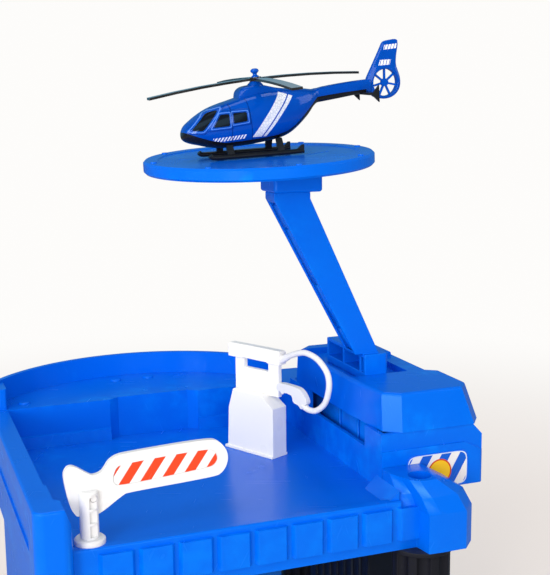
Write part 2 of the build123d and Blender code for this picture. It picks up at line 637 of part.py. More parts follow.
def tower_body():
    """Hollow tower beside the deck: proud lower band, slit window, rear doorway, floor with a hole."""
    front, rear, low, high = tower_front, tower_rear, tower_bottom, tower_top
    body = side_plate(tower_section(0.0), front + BAND_PROUD, rear) + tower_band()
    body -= side_plate(tower_section(WALL), front + WALL + BAND_PROUD, rear - WALL)
    body -= block(shaft_left - SNAP, shaft_right + SNAP, shaft_front - SNAP, shaft_rear + SNAP, low - 1,
                  low + 4)
    body -= block(shaft_right, shaft_right + PINION_FACE + 2 * GAP, axle_y - 16.0, axle_y + 16.0,
                  low - 1, low + 4)
    window_front = front + WINDOW_FRONT
    body -= block(deck_right - 1, deck_right + WALL + 1, window_front, window_front + WINDOW_LENGTH,
                  sill_z, high + 1)
    door_x0, door_x1 = shaft_left + WALL, shaft_right - WALL
    body -= block(door_x0, door_x1, rear - WALL - 1, rear + 1, terrace_z, high + 1)
    body += block(deck_right + WALL, right - WALL - BAND_PROUD, shaft_rear + GAP, rear - WALL,
                  terrace_z - WALL, terrace_z)
    for y in (shaft_front - 8.0, shaft_rear - 14.0):
        body += block(shaft_right + PINION_FACE + GAP, right - WALL, y, y + WALL, low + 1, sill_z)
    body -= block(right - WALL - SHOULDER_WIDTH - BAND_PROUD - 1, right + 1, axle_y - SLOT_WIDTH / 2,
                  axle_y + SLOT_WIDTH / 2, low - 1, high + 1)
    return body


def cap_outline(z, rise, shrink=0.0):
    """Plan of the cap at a share of its height: cut front corners, sides that lean in."""
    x0 = deck_right + 0.3 + 0.7 * rise + shrink
    x1 = right + CAP_OVERHANG - CAP_LEAN * rise - shrink
    y0, y1 = tower_front + CAP_TAPER * rise + shrink, tower_rear - rise - shrink
    points = [(x0, y0 + 45.0), (x0 + 3.0, y0 + 6.6), (x0 + 12.0, y0), (x1 - 7.5, y0), (x1, y0 + 10.0),
              (x1, y1 - 11.0), (x1 - 11.0, y1), (x0 + 11.0, y1), (x0, y1 - 11.0)]
    return make_face(Polyline(*[(x, y, z) for x, y in points], close=True))


def cap_step():
    """What is cut off beside the cap's top, where its rear part is narrower."""
    x = right + CAP_OVERHANG - CAP_LEAN
    y0, y1 = tower_front + CAP_STEP, tower_rear + 1
    plan = prism([(x + 20.0, y0 - 20.0), (x - CAP_STEP_IN, y0), (x - CAP_STEP_IN, y1), (x + 20.0, y1)],
                 tower_top, cap_top + 1)
    slope = side_plate([(x - CAP_STEP_IN, cap_top + 1), (x - CAP_STEP_IN, cap_top),
                        (x + CAP_LEAN, tower_top + 4.0), (x + 20.0, tower_top + 4.0),
                        (x + 20.0, cap_top + 1)], y0 - 21.0, y1)
    return plan & slope


def tower_cap():
    """Tapered cap over the tower: cut corners, narrower rear, a sunken track for the helipad's foot."""
    cap = loft([cap_outline(tower_top, 0.0), cap_outline(cap_top, 1.0)])
    cap = fillet(cap.edges().group_by(Axis.Z)[-1], CAP_ROUND)
    cap -= cap_step()
    recess_z = cap_top - RECESS_DEPTH
    ceiling = recess_z - WALL
    hollow = loft([cap_outline(tower_top, 0.0, WALL), cap_outline(ceiling, 0.7, WALL)])
    cap -= hollow & block(deck_right, right - 11.0, tower_front, tower_rear, tower_top, ceiling)
    x0 = deck_right + RECESS_LEFT
    x1 = x0 + RECESS_WIDTH
    recess = block(x0, x1, recess_front, recess_rear, recess_z, cap_top + 1)
    cap -= round_verticals(recess, 1.5)
    bump = block(x1 + 1.0, x1 + 8.5, tower_front + BUMP_START, recess_rear + 2.0, cap_top - 1,
                 cap_top + BUMP_RISE)
    cap += fillet(bump.edges().group_by(Axis.Z)[-1], 1.4)
    cap -= block(shaft_left + WALL, shaft_right - WALL, tower_rear - 14.0, tower_rear + 1,
                 tower_top - 1, ceiling - 1.0)
    return cap


def tower_label():
    """Thin striped label on the tower's lower band."""
    plate = extrude(Plane.XZ * RectangleRounded(LABEL_WIDTH, LABEL_HEIGHT, 4.0), LABEL_THICK)
    x = deck_right + LABEL_LEFT + 0.5 * LABEL_WIDTH
    return Pos(x, tower_front, tower_bottom + 0.5 * BAND_HEIGHT - LABEL_DROP) * plate


def lift_shaft():
    """Black lift shaft from the ground into the tower: ribbed walls, front entrance, axle slot."""
    x0, x1, y0, y1 = shaft_left, shaft_right, shaft_front, shaft_rear
    shaft = block(x0, x1, y0, y1, BASE_FLOOR, shaft_top)
    rib_top = tower_bottom - 3.0
    ribs = []
    for k in range(1, int((y1 - y0) / SHAFT_RIB_PITCH)):
        y = y0 + k * SHAFT_RIB_PITCH
        ribs.append(block(x0 - SHAFT_RIB_PROUD, x0 + 1, y - 1.2, y + 1.2, BASE_FLOOR, rib_top))
    for k in range(1, int(SHAFT_WIDTH / SHAFT_RIB_PITCH) + 1):
        x = x0 + k * SHAFT_RIB_PITCH - 2.0
        ribs.append(block(x - 1.2, x + 1.2, y1 - 1, y1 + SHAFT_RIB_PROUD, BASE_FLOOR, rib_top))
    flange = block(x0 - 2.5, x1 + 2.5, y0 - 2.5, y1 + 2.5, tower_bottom - 3.0, tower_bottom)
    flange -= block(x1 - 1, x1 + 3.5, axle_y - 16.0, axle_y + 16.0, tower_bottom - 4.0, tower_bottom + 1)
    shaft = shaft + ribs + flange
    shaft -= block(x0 + WALL, x1 - WALL, y0 + WALL, y1 - WALL, BASE_FLOOR - 1, shaft_top + 1)
    shaft -= block(x0 + WALL, x1 - WALL, y0 - 3, y0 + WALL + 1, BASE_FLOOR - 1, BASE_FLOOR + DOOR_HEIGHT)
    slot_low = axle_z - SLOT_WIDTH / 2
    shaft -= block(x1 - WALL - 1, x1 + 1, axle_y - SLOT_WIDTH / 2, axle_y + SLOT_WIDTH / 2,
                   slot_low - 1.0, shaft_top + 1)
    return shaft


def pinion_outline():
    """One involute pinion in its own plane, a tooth pointing along +X."""
    base = pitch_radius * cos(radians(PRESSURE_ANGLE))
    tip, root = pinion_tip, pitch_radius - 1.15 * MODULE
    involute_at_pitch = tan(radians(PRESSURE_ANGLE)) - radians(PRESSURE_ANGLE)
    half_tooth = pi / (2 * PINION_TEETH) - BACKLASH / (4 * pitch_radius)
    flank = []
    for k in range(4):
        r = base + (tip - base) * k / 3
        roll = sqrt(max(r * r / base**2 - 1.0, 0.0))
        flank.append((r, half_tooth + involute_at_pitch - (roll - atan2(roll, 1.0))))
    lower = [(root, flank[0][1])] + flank
    points = []
    for tooth in range(PINION_TEETH):
        middle = 2 * pi * tooth / PINION_TEETH
        for r, a in lower:
            points.append((r * cos(middle - a), r * sin(middle - a)))
        for r, a in reversed(lower):
            points.append((r * cos(middle + a), r * sin(middle + a)))
    return make_face(Polyline(*points, close=True))


def gear_rack():
    """Fixed rack beside the slot; the lift's pinion climbs it when the knob is turned."""
    pitch = pi * MODULE
    pitch_y = axle_y + pitch_radius + 0.1
    tip_y, root_y = pitch_y - 0.75 * MODULE, pitch_y + 1.15 * MODULE
    lean = tan(radians(PRESSURE_ANGLE))
    half = pitch / 4 - BACKLASH / 4
    low, high = BASE_FLOOR + 0.5, min(axle_z + lift_travel + 4.0, tower_top - 1.0)
    points = [(root_y + RACK_BACK, low), (root_y, low)]
    teeth_below = int((axle_z - low) / pitch)
    for k in range(-teeth_below, int((high - axle_z) / pitch)):
        z = axle_z + (k + 0.5) * pitch
        wide = half + (root_y - pitch_y) * lean
        narrow = half - (pitch_y - tip_y) * lean
        points += [(root_y, z - wide), (tip_y, z - narrow), (tip_y, z + narrow), (root_y, z + wide)]
    points += [(root_y, high), (root_y + RACK_BACK, high)]
    face = make_face(Polyline(*[(shaft_right, y, z) for y, z in points], close=True))
    return extrude(face, PINION_FACE, dir=(1, 0, 0))


def lift_platform():
    """Lift platform: ribbed plate with side lips and a bracket that carries the axle."""
    x0, x1 = shaft_left + WALL + GAP, shaft_right - WALL - GAP
    y0, y1 = shaft_front + WALL + GAP, shaft_rear - WALL - GAP
    low = lift_low - LIFT_THICK
    plate = round_verticals(block(x0, x1, y0, y1, low, lift_low), 1.5)
    for x in (x0, x1 - 1.6):
        plate += block(x, x + 1.6, y0 + 2.0, y1 - 2.0, lift_low, lift_low + LIFT_LIP)
    for k in range(1, 8):
        y = y0 + k * (y1 - y0) / 8.0
        plate += block(x0 + 6.0, x1 - 8.0, y - 0.6, y + 0.6, lift_low, lift_low + 0.5)
    bracket = block(x1 - LIFT_BRACKET, x1, axle_y - 6.0, axle_y + 6.0, low, axle_z + 5.0)
    plate += fillet(bracket.edges().filter_by(Axis.X).group_by(Axis.Z)[-1], 4.0)
    bore = rod((x1 - LIFT_BRACKET - 1, axle_y, axle_z), (x1 + 1, axle_y, axle_z), AXLE_RADIUS + AXLE_FIT)
    return plate - bore


def lift_pinion():
    """Pinion on its axle, with a snap head inside the lift's bracket and a square end for the knob."""
    x1 = shaft_right - WALL - GAP
    start = x1 - LIFT_BRACKET - 1.8
    end = knob_face + KNOB_THICK - 2.0
    axle = rod((start, axle_y, axle_z), (end, axle_y, axle_z), AXLE_RADIUS)
    head = rod((start, axle_y, axle_z), (start + 1.5, axle_y, axle_z), AXLE_RADIUS + 0.5)
    gear_x = shaft_right + GAP
    plane = Plane(origin=(gear_x, axle_y, axle_z), x_dir=(0, 1, 0), z_dir=(1, 0, 0))
    gear = plane * extrude(pinion_outline(), PINION_FACE - GAP)
    return axle + head + gear


def lift_knob():
    """Round turning knob with grip lobes on the axle's outer end."""
    plan = Circle(KNOB_RADIUS)
    for k in range(KNOB_LOBES):
        plan -= Rot(0, 0, 360.0 * k / KNOB_LOBES) * Pos(KNOB_RADIUS + 1.0, 0) * Circle(2.4)
    knob = extrude(plan, KNOB_THICK)
    knob = chamfer(knob.edges().group_by(Axis.Z)[-1], 0.8)
    knob -= Cylinder(AXLE_RADIUS + KNOB_FIT, KNOB_THICK - 2.0, align=BASE)
    plane = Plane(origin=(knob_face, axle_y, axle_z), x_dir=(0, 1, 0), z_dir=(1, 0, 0))
    return plane * knob


# ---------------------------------------------------------------- helipad
def leaning_outline(low, high):
    """Side outline of the leaning arm between two heights above its foot."""
    corners = []
    for z in (low, high):
        share = z / ARM_HEIGHT
        x = arm_left - ARM_LEAN_LEFT * share
        corners.append((x, foot_top + z))
    for z in (high, low):
        share = z / ARM_HEIGHT
        x = arm_left + ARM_BOTTOM_WIDTH - ARM_LEAN_RIGHT * share
        corners.append((x, foot_top + z))
    return corners


def helipad_foot():
    """Long foot in the cap's recess, with one narrow and then wide windows in its left side."""
    x0, x1 = deck_right + FOOT_LEFT, deck_right + FOOT_LEFT + ARM_FOOT_WIDTH
    foot_low = cap_top - RECESS_DEPTH
    foot = block(x0, x1, foot_front, foot_rear, foot_low, foot_top)
    foot = fillet(foot.edges().filter_by(Axis.Z).sort_by(Axis.X)[-2:], 2.0)
    start = foot_front + WALL
    openings = [(start, start + FOOT_SLIT)]
    pitch = (foot_rear - start - FOOT_SLIT - ARM_RIB) / FOOT_BAYS
    for k in range(FOOT_BAYS):
        y = start + FOOT_SLIT + ARM_RIB + k * pitch
        openings.append((y, y + pitch - ARM_RIB))
    for y0, y1 in openings:
        foot -= block(x0 - 1, x1 - WALL, y0, y1, foot_low + RECESS_DEPTH + 1.0, foot_top - WALL)
    return foot


def helipad_arm():
    """Foot in the cap's recess and the leaning, ribbed arm that carries the helipad."""
    y0, y1 = arm_front, arm_front + ARM_DEPTH
    arm = side_plate(leaning_outline(0, ARM_HEIGHT), y0, y1)
    pocket_pitch = (ARM_HEIGHT - ARM_RIB) / ARM_POCKETS
    for k in range(ARM_POCKETS):
        low = ARM_RIB + k * pocket_pitch
        (a, za), (b, zb), (c, zc), (d, zd) = leaning_outline(low, low + pocket_pitch - ARM_RIB)
        outline = [(a - 2, za), (b - 2, zb), (c - WALL, zc), (d - WALL, zd)]
        arm -= side_plate(outline, y0 + WALL, y1 - WALL)
    (a, za), (b, zb), _, _ = leaning_outline(ARM_RIB, ARM_HEIGHT - ARM_RIB)
    scallop = [(a - 2, za), (b - 2, zb), (b + RIB_SCALLOP, zb), (a + RIB_SCALLOP, za)]
    arm -= side_plate(scallop, y0 + WALL, y1 - WALL)
    neck_left = arm_left - ARM_LEAN_LEFT
    neck_right = arm_left + ARM_BOTTOM_WIDTH - ARM_LEAN_RIGHT
    neck = block(neck_left, neck_right, y0, y1, foot_top + ARM_HEIGHT, collar_z)
    return helipad_foot() + arm + neck


def below_pad():
    """Everything under the pad's tilted underside."""
    return pad_place * Pos(0, 0, -PAD_THICK - 50.0) * Box(8 * PAD_RADIUS, 8 * PAD_RADIUS, 100.0)


def pad_collar():
    """Collar on top of the arm; its top face follows the tilt of the pad."""
    x0, y0 = collar_left, collar_front
    collar = block(x0, x0 + COLLAR_WIDTH, y0, y0 + COLLAR_DEPTH, collar_z, collar_z + 2 * COLLAR_RISE)
    collar = round_verticals(collar, 2.0)
    collar = chamfer(collar.edges().group_by(Axis.Z)[0], 1.0)
    return collar & below_pad()


def helipad_disc():
    """Round helipad: bevelled rim, sunken panel, rim studs, ribbed hollow underside."""
    profile = [(0, -PAD_THICK), (PAD_RADIUS - PAD_BEVEL, -PAD_THICK), (PAD_RADIUS, PAD_BEVEL - PAD_THICK),
               (PAD_RADIUS, -PAD_BEVEL), (PAD_RADIUS - PAD_BEVEL, 0), (PAD_RADIUS - PAD_RIM, 0),
               (PAD_RADIUS - PAD_RIM - PAD_PANEL_DEPTH, -PAD_PANEL_DEPTH), (0, -PAD_PANEL_DEPTH)]
    pad = revolve(Plane.XZ * make_face(Polyline(*profile, close=True)), Axis.Z)
    hollow = Pos(0, 0, -PAD_THICK - 1) * Cylinder(PAD_RADIUS - PAD_BEVEL - WALL, PAD_THICK + 1 - PAD_TOP,
                                                  align=BASE)
    hub_x = collar_left + COLLAR_WIDTH / 2 - pad_x
    hub_y = collar_front + COLLAR_DEPTH / 2 - pad_y
    hub = Pos(hub_x, hub_y, -PAD_THICK / 2) * Box(COLLAR_WIDTH + 6, COLLAR_DEPTH + 6, 2 * PAD_THICK)
    spokes = []
    for k in range(PAD_SPOKES):
        spokes.append(Rot(0, 0, k * 180.0 / PAD_SPOKES) * Box(2 * PAD_RADIUS, UNDER_RIB, 3 * PAD_THICK))
    pad -= hollow - hub - spokes
    for k in range(PAD_STUDS):
        stud = Rot(0, 0, 360.0 * k / PAD_STUDS) * Pos(PAD_RADIUS - PAD_RIM / 2, 0, -0.5) * Cylinder(
            PAD_STUD_RADIUS, 0.5 + PAD_STUD_RISE, align=BASE)
        pad += stud
    for x, y, length, turn in PAD_GROOVES:
        groove = Box(length, PAD_GROOVE_WIDTH, 2 * PAD_GROOVE_DEPTH)
        pad -= Pos(x, y, -PAD_PANEL_DEPTH) * Rot(0, 0, turn) * groove
    return pad_place * pad


# ---------------------------------------------------------------- barrier
def barrier_post():
    """Barrier post on the front lip: flange, round foot, flat-backed tab with a stepped recess."""
    flange = Pos(0, 0, lip_z) * Cylinder(POST_FLANGE_RADIUS, POST_FLANGE, align=BASE)
    flange = chamfer(flange.edges().group_by(Axis.Z)[-1], 0.8)
    spigot = Pos(0, 0, lip_z - POST_SPIGOT_LENGTH) * Cylinder(POST_SPIGOT, POST_SPIGOT_LENGTH, align=BASE)
    post = Pos(0, 0, lip_z) * Cylinder(POST_RADIUS, POST_HEIGHT, align=BASE)
    post = chamfer(post.edges().group_by(Axis.Z)[-1], 0.8)
    clear_z = pivot_z - LOBE_REACH - GAP
    post -= block(-2 * POST_RADIUS, 2 * POST_RADIUS, -GAP, 2 * POST_RADIUS, clear_z, lip_z + POST_HEIGHT + 1)
    rungs = (POST_HEIGHT - POST_FLANGE - 2.0) / POST_STEPS
    for k in range(POST_STEPS):
        z = lip_z + POST_FLANGE + 1.0 + k * rungs
        post -= block(-0.5, 4.8, -2 * POST_RADIUS, 1.4 - POST_RADIUS, z, z + rungs - 1.2)
    post = Pos(post_x, post_y, 0) * (flange + spigot + post)
    return post - rod((pivot_x, post_y - 9, pivot_z), (pivot_x, post_y + 9, pivot_z),
                      BARRIER_PIN_RADIUS + SNAP)


def barrier_pin():
    """Hinge pin pressed into the post's tab, with a head behind the barrier arm."""
    y0, y1 = post_y - POST_RADIUS + 1.6, post_y + ARM_PLATE + GAP
    pin = rod((pivot_x, y0, pivot_z), (pivot_x, y1, pivot_z), BARRIER_PIN_RADIUS)
    return pin + rod((pivot_x, y1, pivot_z), (pivot_x, y1 + 1.2, pivot_z), BARRIER_PIN_RADIUS + 1.6)


def barrier_outline(points):
    """Barrier outline in X and Z, given from the post's middle and the pivot's height."""
    return [(post_x + x, pivot_z + z) for x, z in points]


def barrier_arm():
    """Flat barrier arm with a hooked counterweight, a bevelled tip and a recess for its stripes."""
    plate = side_plate(barrier_outline(BARRIER_EDGE), post_y, post_y + ARM_PLATE)
    plate = fillet(plate.edges().filter_by(Axis.Y), BARRIER_ROUND)
    plate -= side_plate(barrier_outline(BARRIER_STRIPES), post_y - 1, post_y + BARRIER_RECESS)
    bore = rod((pivot_x, post_y - 9, pivot_z), (pivot_x, post_y + 9, pivot_z), BARRIER_PIN_RADIUS + AXLE_FIT)
    return plate - bore


def barrier_label():
    """Thin striped label that lies in the arm's recess."""
    return side_plate(barrier_outline(BARRIER_STRIPES), post_y + BARRIER_RECESS - LABEL_THICK,
                      post_y + BARRIER_RECESS)


# ---------------------------------------------------------------- fuel pump
def pump_body():
    """Fuel pump: base flange, waisted body, neck with a through window, overhanging head."""
    w = PUMP_WIDTH
    lower = side_plate([(1.3, 0), (2.3, 25.8), (6.4, PUMP_SHOULDER), (w - 9.0, PUMP_SHOULDER),
                        (w - 6.5, 35.0),
                        (w, 30.7), (w, 0)], 0, PUMP_DEPTH)
    lower = fillet(lower.edges().group_by(Axis.Z)[-1], 1.0)
    lower -= block(1.3 + WALL + 1.0, w - WALL, WALL, PUMP_DEPTH - WALL, -1, 25.0)
    flange = block(-0.4, w, -0.8, PUMP_DEPTH + 0.8, 0, 1.6)
    flange -= block(1.3 + WALL + 1.0, w - WALL, WALL, PUMP_DEPTH - WALL, -1, 2.0)
    middle = PUMP_DEPTH / 2
    neck = block(4.4, w + 0.7, middle - 1.5, middle + 1.5, PUMP_SHOULDER - 1, PUMP_HEAD + 1)
    head = block(-0.1, w + 2.9, middle - 3.0, middle + 3.0, PUMP_HEAD, PUMP_HEIGHT)
    head = chamfer(head.edges().group_by(Axis.Z)[-1], 0.8)
    pump = lower + flange + neck + head
    pump -= block(12.0, 32.0, -1, PUMP_DEPTH + 1, PUMP_HEAD - 5.5, PUMP_HEAD + 0.5)
    pump -= rod((w - 1.0, middle, HOSE_PORT_Z), (w + 4, middle, HOSE_PORT_Z), HOSE_DIAMETER / 2 + SNAP)
    return pump_place * pump


def pump_hose():
    """Rigid hose loop moulded in one with its nozzle, which hangs beside the neck."""
    middle = PUMP_DEPTH / 2
    w = PUMP_WIDTH
    route = [(w - 1.0, HOSE_PORT_Z), (w + 4.5, HOSE_PORT_Z), (w + 17.0, HOSE_PORT_Z + 9.3),
             (w + 36.5, HOSE_PORT_Z + 8.0), (w + 39.0, HOSE_PORT_Z - 25.0), (w + 22.0, HOSE_PORT_Z - 27.5),
             (w + 16.0, HOSE_PORT_Z - 23.0)]
    points = [(x, middle, z) for x, z in route]
    path = FilletPolyline(*points, radius=HOSE_BEND)
    section = Plane(origin=path @ 0, z_dir=path % 0) * Circle(HOSE_DIAMETER / 2)
    hose = sweep(section, path=path)
    outline = [(1.0, 46.6), (4.0, 47.2), (17.0, 44.6), (21.5, 38.2), (17.5, 34.5), (13.8, 37.4),
               (11.2, 37.6),
               (10.9, 41.2), (6.2, 41.8), (4.4, 40.4), (2.6, 42.2), (1.0, 42.6)]
    half = NOZZLE_THICK / 2
    nozzle = side_plate([(w + x, z) for x, z in outline], middle - half, middle + half)
    return pump_place * (hose + nozzle)


# ---------------------------------------------------------------- helicopter
def heli_section(x, low, high, half, inset):
    """One rounded cross section of the cabin."""
    width, height = 2 * (half - inset), high - low - 2 * inset
    section = RectangleRounded(width, height, 0.42 * min(width, height))
    return Plane(origin=(x, 0, (low + high) / 2), x_dir=(0, 1, 0), z_dir=(1, 0, 0)) * section


def cabin(inset=0.0):
    """The whole cabin as one closed form, or a smaller copy of it for hollowing."""
    sections = [heli_section(*row, inset) for row in CABIN_ROWS]
    return loft(sections, ruled=True)


def across(points, reach=40.0):
    """A prism through the whole helicopter from an outline in X and Z."""
    return side_plate(points, -reach, reach)


def cabin_skin():
    return cabin() - cabin(HELI_WALL)


def window_prisms():
    """Outlines of the windscreen and of the two side windows."""
    screen = across([(-46.0, 16.2), (-34.5, 16.2), (-30.4, 21.5), (-25.3, 28.4), (-25.3, 36.0),
                     (-46.0, 36.0)])
    door = across([(-30.4, 17.8), (-27.2, 25.0), (-21.6, 25.2), (-21.4, 18.2)])
    rear = across([(-18.0, 19.1), (-17.9, 24.9), (-10.6, 25.0), (-10.2, 20.1)])
    return [screen, door, rear]


def belly_prism():
    """Outline of everything below the line between the blue and the black shell."""
    return across([(-50, 0), (-50, 14.6), (-46.0, 14.1), (-36.6, 12.2), (-22.0, 8.8), (5.0, 11.0),
                   (13.0, 13.4),
                   (27.8, 28.6), (33.0, 29.3), (BOOM_STRIP_END, 31.6), (BOOM_STRIP_END, 0)])


def boom_end():
    """Tail boom with its fan ring and the swept fin."""
    start = Plane(origin=(33.0, 0, 30.8), x_dir=(0, 1, 0), z_dir=(1, 0, 0)) * RectangleRounded(7.0, 7.2, 2.0)
    end = Plane(origin=(70.0, 0, 34.7), x_dir=(0, 1, 0), z_dir=(1, 0, 0)) * RectangleRounded(4.4, 7.6, 1.6)
    boom = loft([start, end])
    fan_x, fan_z = FAN_CENTRE
    ring = Pos(fan_x, FAN_RING_DEPTH / 2, fan_z) * Rot(90, 0, 0) * Cylinder(
        FAN_RADIUS + FAN_WALL, FAN_RING_DEPTH, align=BASE)
    fin = side_plate([(69.5, 37.5), (77.2, 57.2), (79.5, 59.4), (86.0, 59.8), (87.0, 57.5), (85.6, 45.5),
                      (87.6, 40.0), (80.0, 37.0)], -1.3, 1.3)
    hole = Pos(fan_x, FAN_RING_DEPTH, fan_z) * Rot(90, 0, 0) * Cylinder(
        FAN_RADIUS, 2 * FAN_RING_DEPTH, align=BASE)
    return boom + ring + fin - hole


def heli_shell():
    """Upper shell: hollow cabin without its windows and belly, roof cowl, boom, fan ring and fin."""
    shell = cabin_skin() - belly_prism() - window_prisms()
    shell += boom_end() - cabin() - belly_prism()
    cowl = side_plate([(-10.4, 34.0), (-9.7, 36.7), (-4.4, COWL_TOP), (5.5, COWL_TOP), (10.8, 36.7),
                       (11.5, 34.0)],
                      -COWL_HALF, COWL_HALF)
    cowl = fillet(cowl.edges().group_by(Axis.Z)[-1].filter_by(Axis.X), 1.5)
    return heli_place * (shell + (cowl - cabin(0.5 * HELI_WALL)))


def heli_belly():
    """Lower shell of the cabin."""
    strip = (boom_end() - cabin()) & belly_prism()
    return heli_place * ((cabin_skin() & belly_prism()) + strip)


def heli_windows():
    """Dark panes in the cabin's window openings."""
    panes = [cabin_skin() & prism_shape for prism_shape in window_prisms()]
    solids = []
    for pane in panes:
        solids.extend(pane.solids())
    return heli_place * Compound(children=solids)


def heli_skids():
    """Skids on four struts."""
    spread = SKID_SPREAD / 2
    gear = []
    for side in (-1, 1):
        y = side * spread
        path = FilletPolyline((SKID_REAR, y, SKID_RADIUS), (SKID_REAR - SKID_LENGTH, y, SKID_RADIUS),
                              (SKID_REAR - SKID_LENGTH - 4.0, y, SKID_RADIUS + 3.0), radius=4.0)
        section = Plane(origin=path @ 0, z_dir=path % 0) * Circle(SKID_RADIUS)
        gear.append(sweep(section, path=path))
        for x in SKID_STRUTS:
            gear.append(rod((x, y, SKID_RADIUS), (x, side * 7.0, 11.0), 1.1))
    skids = gear[0]
    for piece in gear[1:]:
        skids += piece
    return heli_place * (skids - cabin())


def heli_fan():
    """Seven-spoked tail fan in its ring."""
    fan_x, fan_z = FAN_CENTRE
    wheel = Cylinder(2.2, 2.0)
    for k in range(FAN_SPOKES):
        spoke = Pos(FAN_RADIUS / 2, 0, 0) * Box(FAN_RADIUS, 1.1, 1.2)
        wheel += Rot(0, 0, 90 + 360.0 * k / FAN_SPOKES) * spoke
    wheel = wheel & Cylinder(FAN_RADIUS, 3.0)
    return heli_place * (Pos(fan_x, 0, fan_z) * Rot(90, 0, 0) * wheel)


def heli_stabiliser():
    """Tailplane under the boom with its two end plates."""
    z = STABILISER_Z
    bar = block(62.5, 67.5, -STABILISER_HALF, STABILISER_HALF, z - 0.7, z + 0.7)
    for side in (-1, 1):
        y = side * STABILISER_HALF
        bar += side_plate([(63.7, z - 0.3), (68.3, z + 4.8), (68.5, z - 4.8)], y - 0.7, y + 0.7)
    return heli_place * (bar - boom_end())


def heli_mast():
    """Rotor mast on the roof cowl."""
    mast = rod((0, 0, 38.0), (0, 0, HUB_Z - GAP), 2.6) + rod((0, 0, 38.0), (0, 0, HUB_Z + 3.0), MAST_RADIUS)
    return heli_place * (rotor_lean * mast - block(-9, 9, -9, 9, 30, COWL_TOP))


def rotor_blades():
    """Four drooping blades on a hub that turns on the mast."""
    blades = Pos(0, 0, HUB_Z) * Cylinder(3.2, BLADE_THICK + 0.8, align=BASE)
    steps = 4
    top = []
    for k in range(steps + 1):
        r = 2.0 + (ROTOR_RADIUS - 2.0) * k / steps
        top.append((r, HUB_Z + BLADE_THICK + 0.4 - BLADE_DROOP * (r / ROTOR_RADIUS) ** 2))
    under = [(x, z - BLADE_THICK) for x, z in reversed(top)]
    blade = side_plate(top + under, -BLADE_CHORD / 2, BLADE_CHORD / 2)
    blade -= block(0, ROTOR_ROOT, BLADE_ROOT_HALF, BLADE_CHORD, 0, 60)
    blade -= block(0, ROTOR_ROOT, -BLADE_CHORD, -BLADE_ROOT_HALF, 0, 60)
    for k in range(ROTOR_BLADES):
        blades += Rot(0, 0, 360.0 * k / ROTOR_BLADES) * blade
    blades -= Pos(0, 0, HUB_Z - 1) * Cylinder(MAST_RADIUS + AXLE_FIT, 20, align=BASE)
    return heli_place * rotor_lean * blades


def rotor_cap():
    """Round cap that holds the rotor on its mast."""
    base_z = HUB_Z + BLADE_THICK + 0.8
    cap = Pos(0, 0, base_z) * Cylinder(CAP_KNOB_RADIUS, CAP_KNOB_TOP - base_z, align=BASE)
    cap = fillet(cap.edges().group_by(Axis.Z)[-1], 1.0)
    cap -= Pos(0, 0, base_z - 1) * Cylinder(MAST_RADIUS + AXLE_FIT, 3.0, align=BASE)
    return heli_place * rotor_lean * cap


# ---------------------------------------------------------------- all pieces
pieces = {
    "base_tray": base_tray(),
    "side_wall": side_wall(),
    "pillar_front_right": pillar("front_right"),
    "pillar_front_left": pillar("front_left"),
    "pillar_rear_left": pillar("rear_left"),
    "pillar_rear_right": pillar("rear_right"),
    "deck_tray": deck_tray(),
    "rear_terrace": rear_terrace(),
    "corner_socket": corner_socket(),
    "tower_body": tower_body(),
    "tower_cap": tower_cap(),
    "tower_stripe_label": tower_label(),
    "lift_shaft": lift_shaft(),
    "gear_rack": gear_rack(),
    "lift_platform": lift_platform(),
    "lift_pinion": lift_pinion(),
    "lift_knob": lift_knob(),
    "helipad_arm": helipad_arm(),
    "pad_collar": pad_collar(),
    "helipad_disc": helipad_disc(),
    "barrier_post": barrier_post(),
    "barrier_pin": barrier_pin(),
    "barrier_arm": barrier_arm(),
    "barrier_stripe_label": barrier_label(),
    "pump_body": pump_body(),
    "pump_hose": pump_hose(),
    "heli_shell": heli_shell(),
    "heli_belly": heli_belly(),
    "heli_windows": heli_windows(),
    "heli_skids": heli_skids(),
    "heli_tail_fan": heli_fan(),
    "heli_stabiliser": heli_stabiliser(),
    "heli_mast": heli_mast(),
    "rotor_blades": rotor_blades(),
    "rotor_cap": rotor_cap(),
}

os.makedirs("parts", exist_ok=True)
for name, shape in pieces.items():
    export_step(as_one(shape), f"parts/{name}.step")
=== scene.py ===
import math
import bmesh
import bpy
import numpy as np
from mathutils import Matrix, Vector
from mathutils.geometry import tessellate_polygon


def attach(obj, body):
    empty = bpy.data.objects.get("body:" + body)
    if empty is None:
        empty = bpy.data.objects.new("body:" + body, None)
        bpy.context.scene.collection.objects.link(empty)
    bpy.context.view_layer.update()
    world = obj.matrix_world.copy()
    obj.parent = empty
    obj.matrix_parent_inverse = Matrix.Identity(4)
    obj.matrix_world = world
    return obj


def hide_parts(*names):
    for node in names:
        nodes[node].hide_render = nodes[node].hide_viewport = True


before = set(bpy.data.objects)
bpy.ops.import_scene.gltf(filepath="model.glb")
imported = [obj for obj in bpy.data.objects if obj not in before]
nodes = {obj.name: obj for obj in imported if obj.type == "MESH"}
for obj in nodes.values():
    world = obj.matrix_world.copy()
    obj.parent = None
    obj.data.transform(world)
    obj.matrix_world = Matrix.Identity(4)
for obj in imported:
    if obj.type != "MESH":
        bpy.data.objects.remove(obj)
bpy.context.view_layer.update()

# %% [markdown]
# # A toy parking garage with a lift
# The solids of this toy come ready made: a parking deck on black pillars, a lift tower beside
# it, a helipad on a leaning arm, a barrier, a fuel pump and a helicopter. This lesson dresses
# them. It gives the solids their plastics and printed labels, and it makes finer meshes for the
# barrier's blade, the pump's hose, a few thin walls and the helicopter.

MM = 0.001
scene = bpy.context.scene

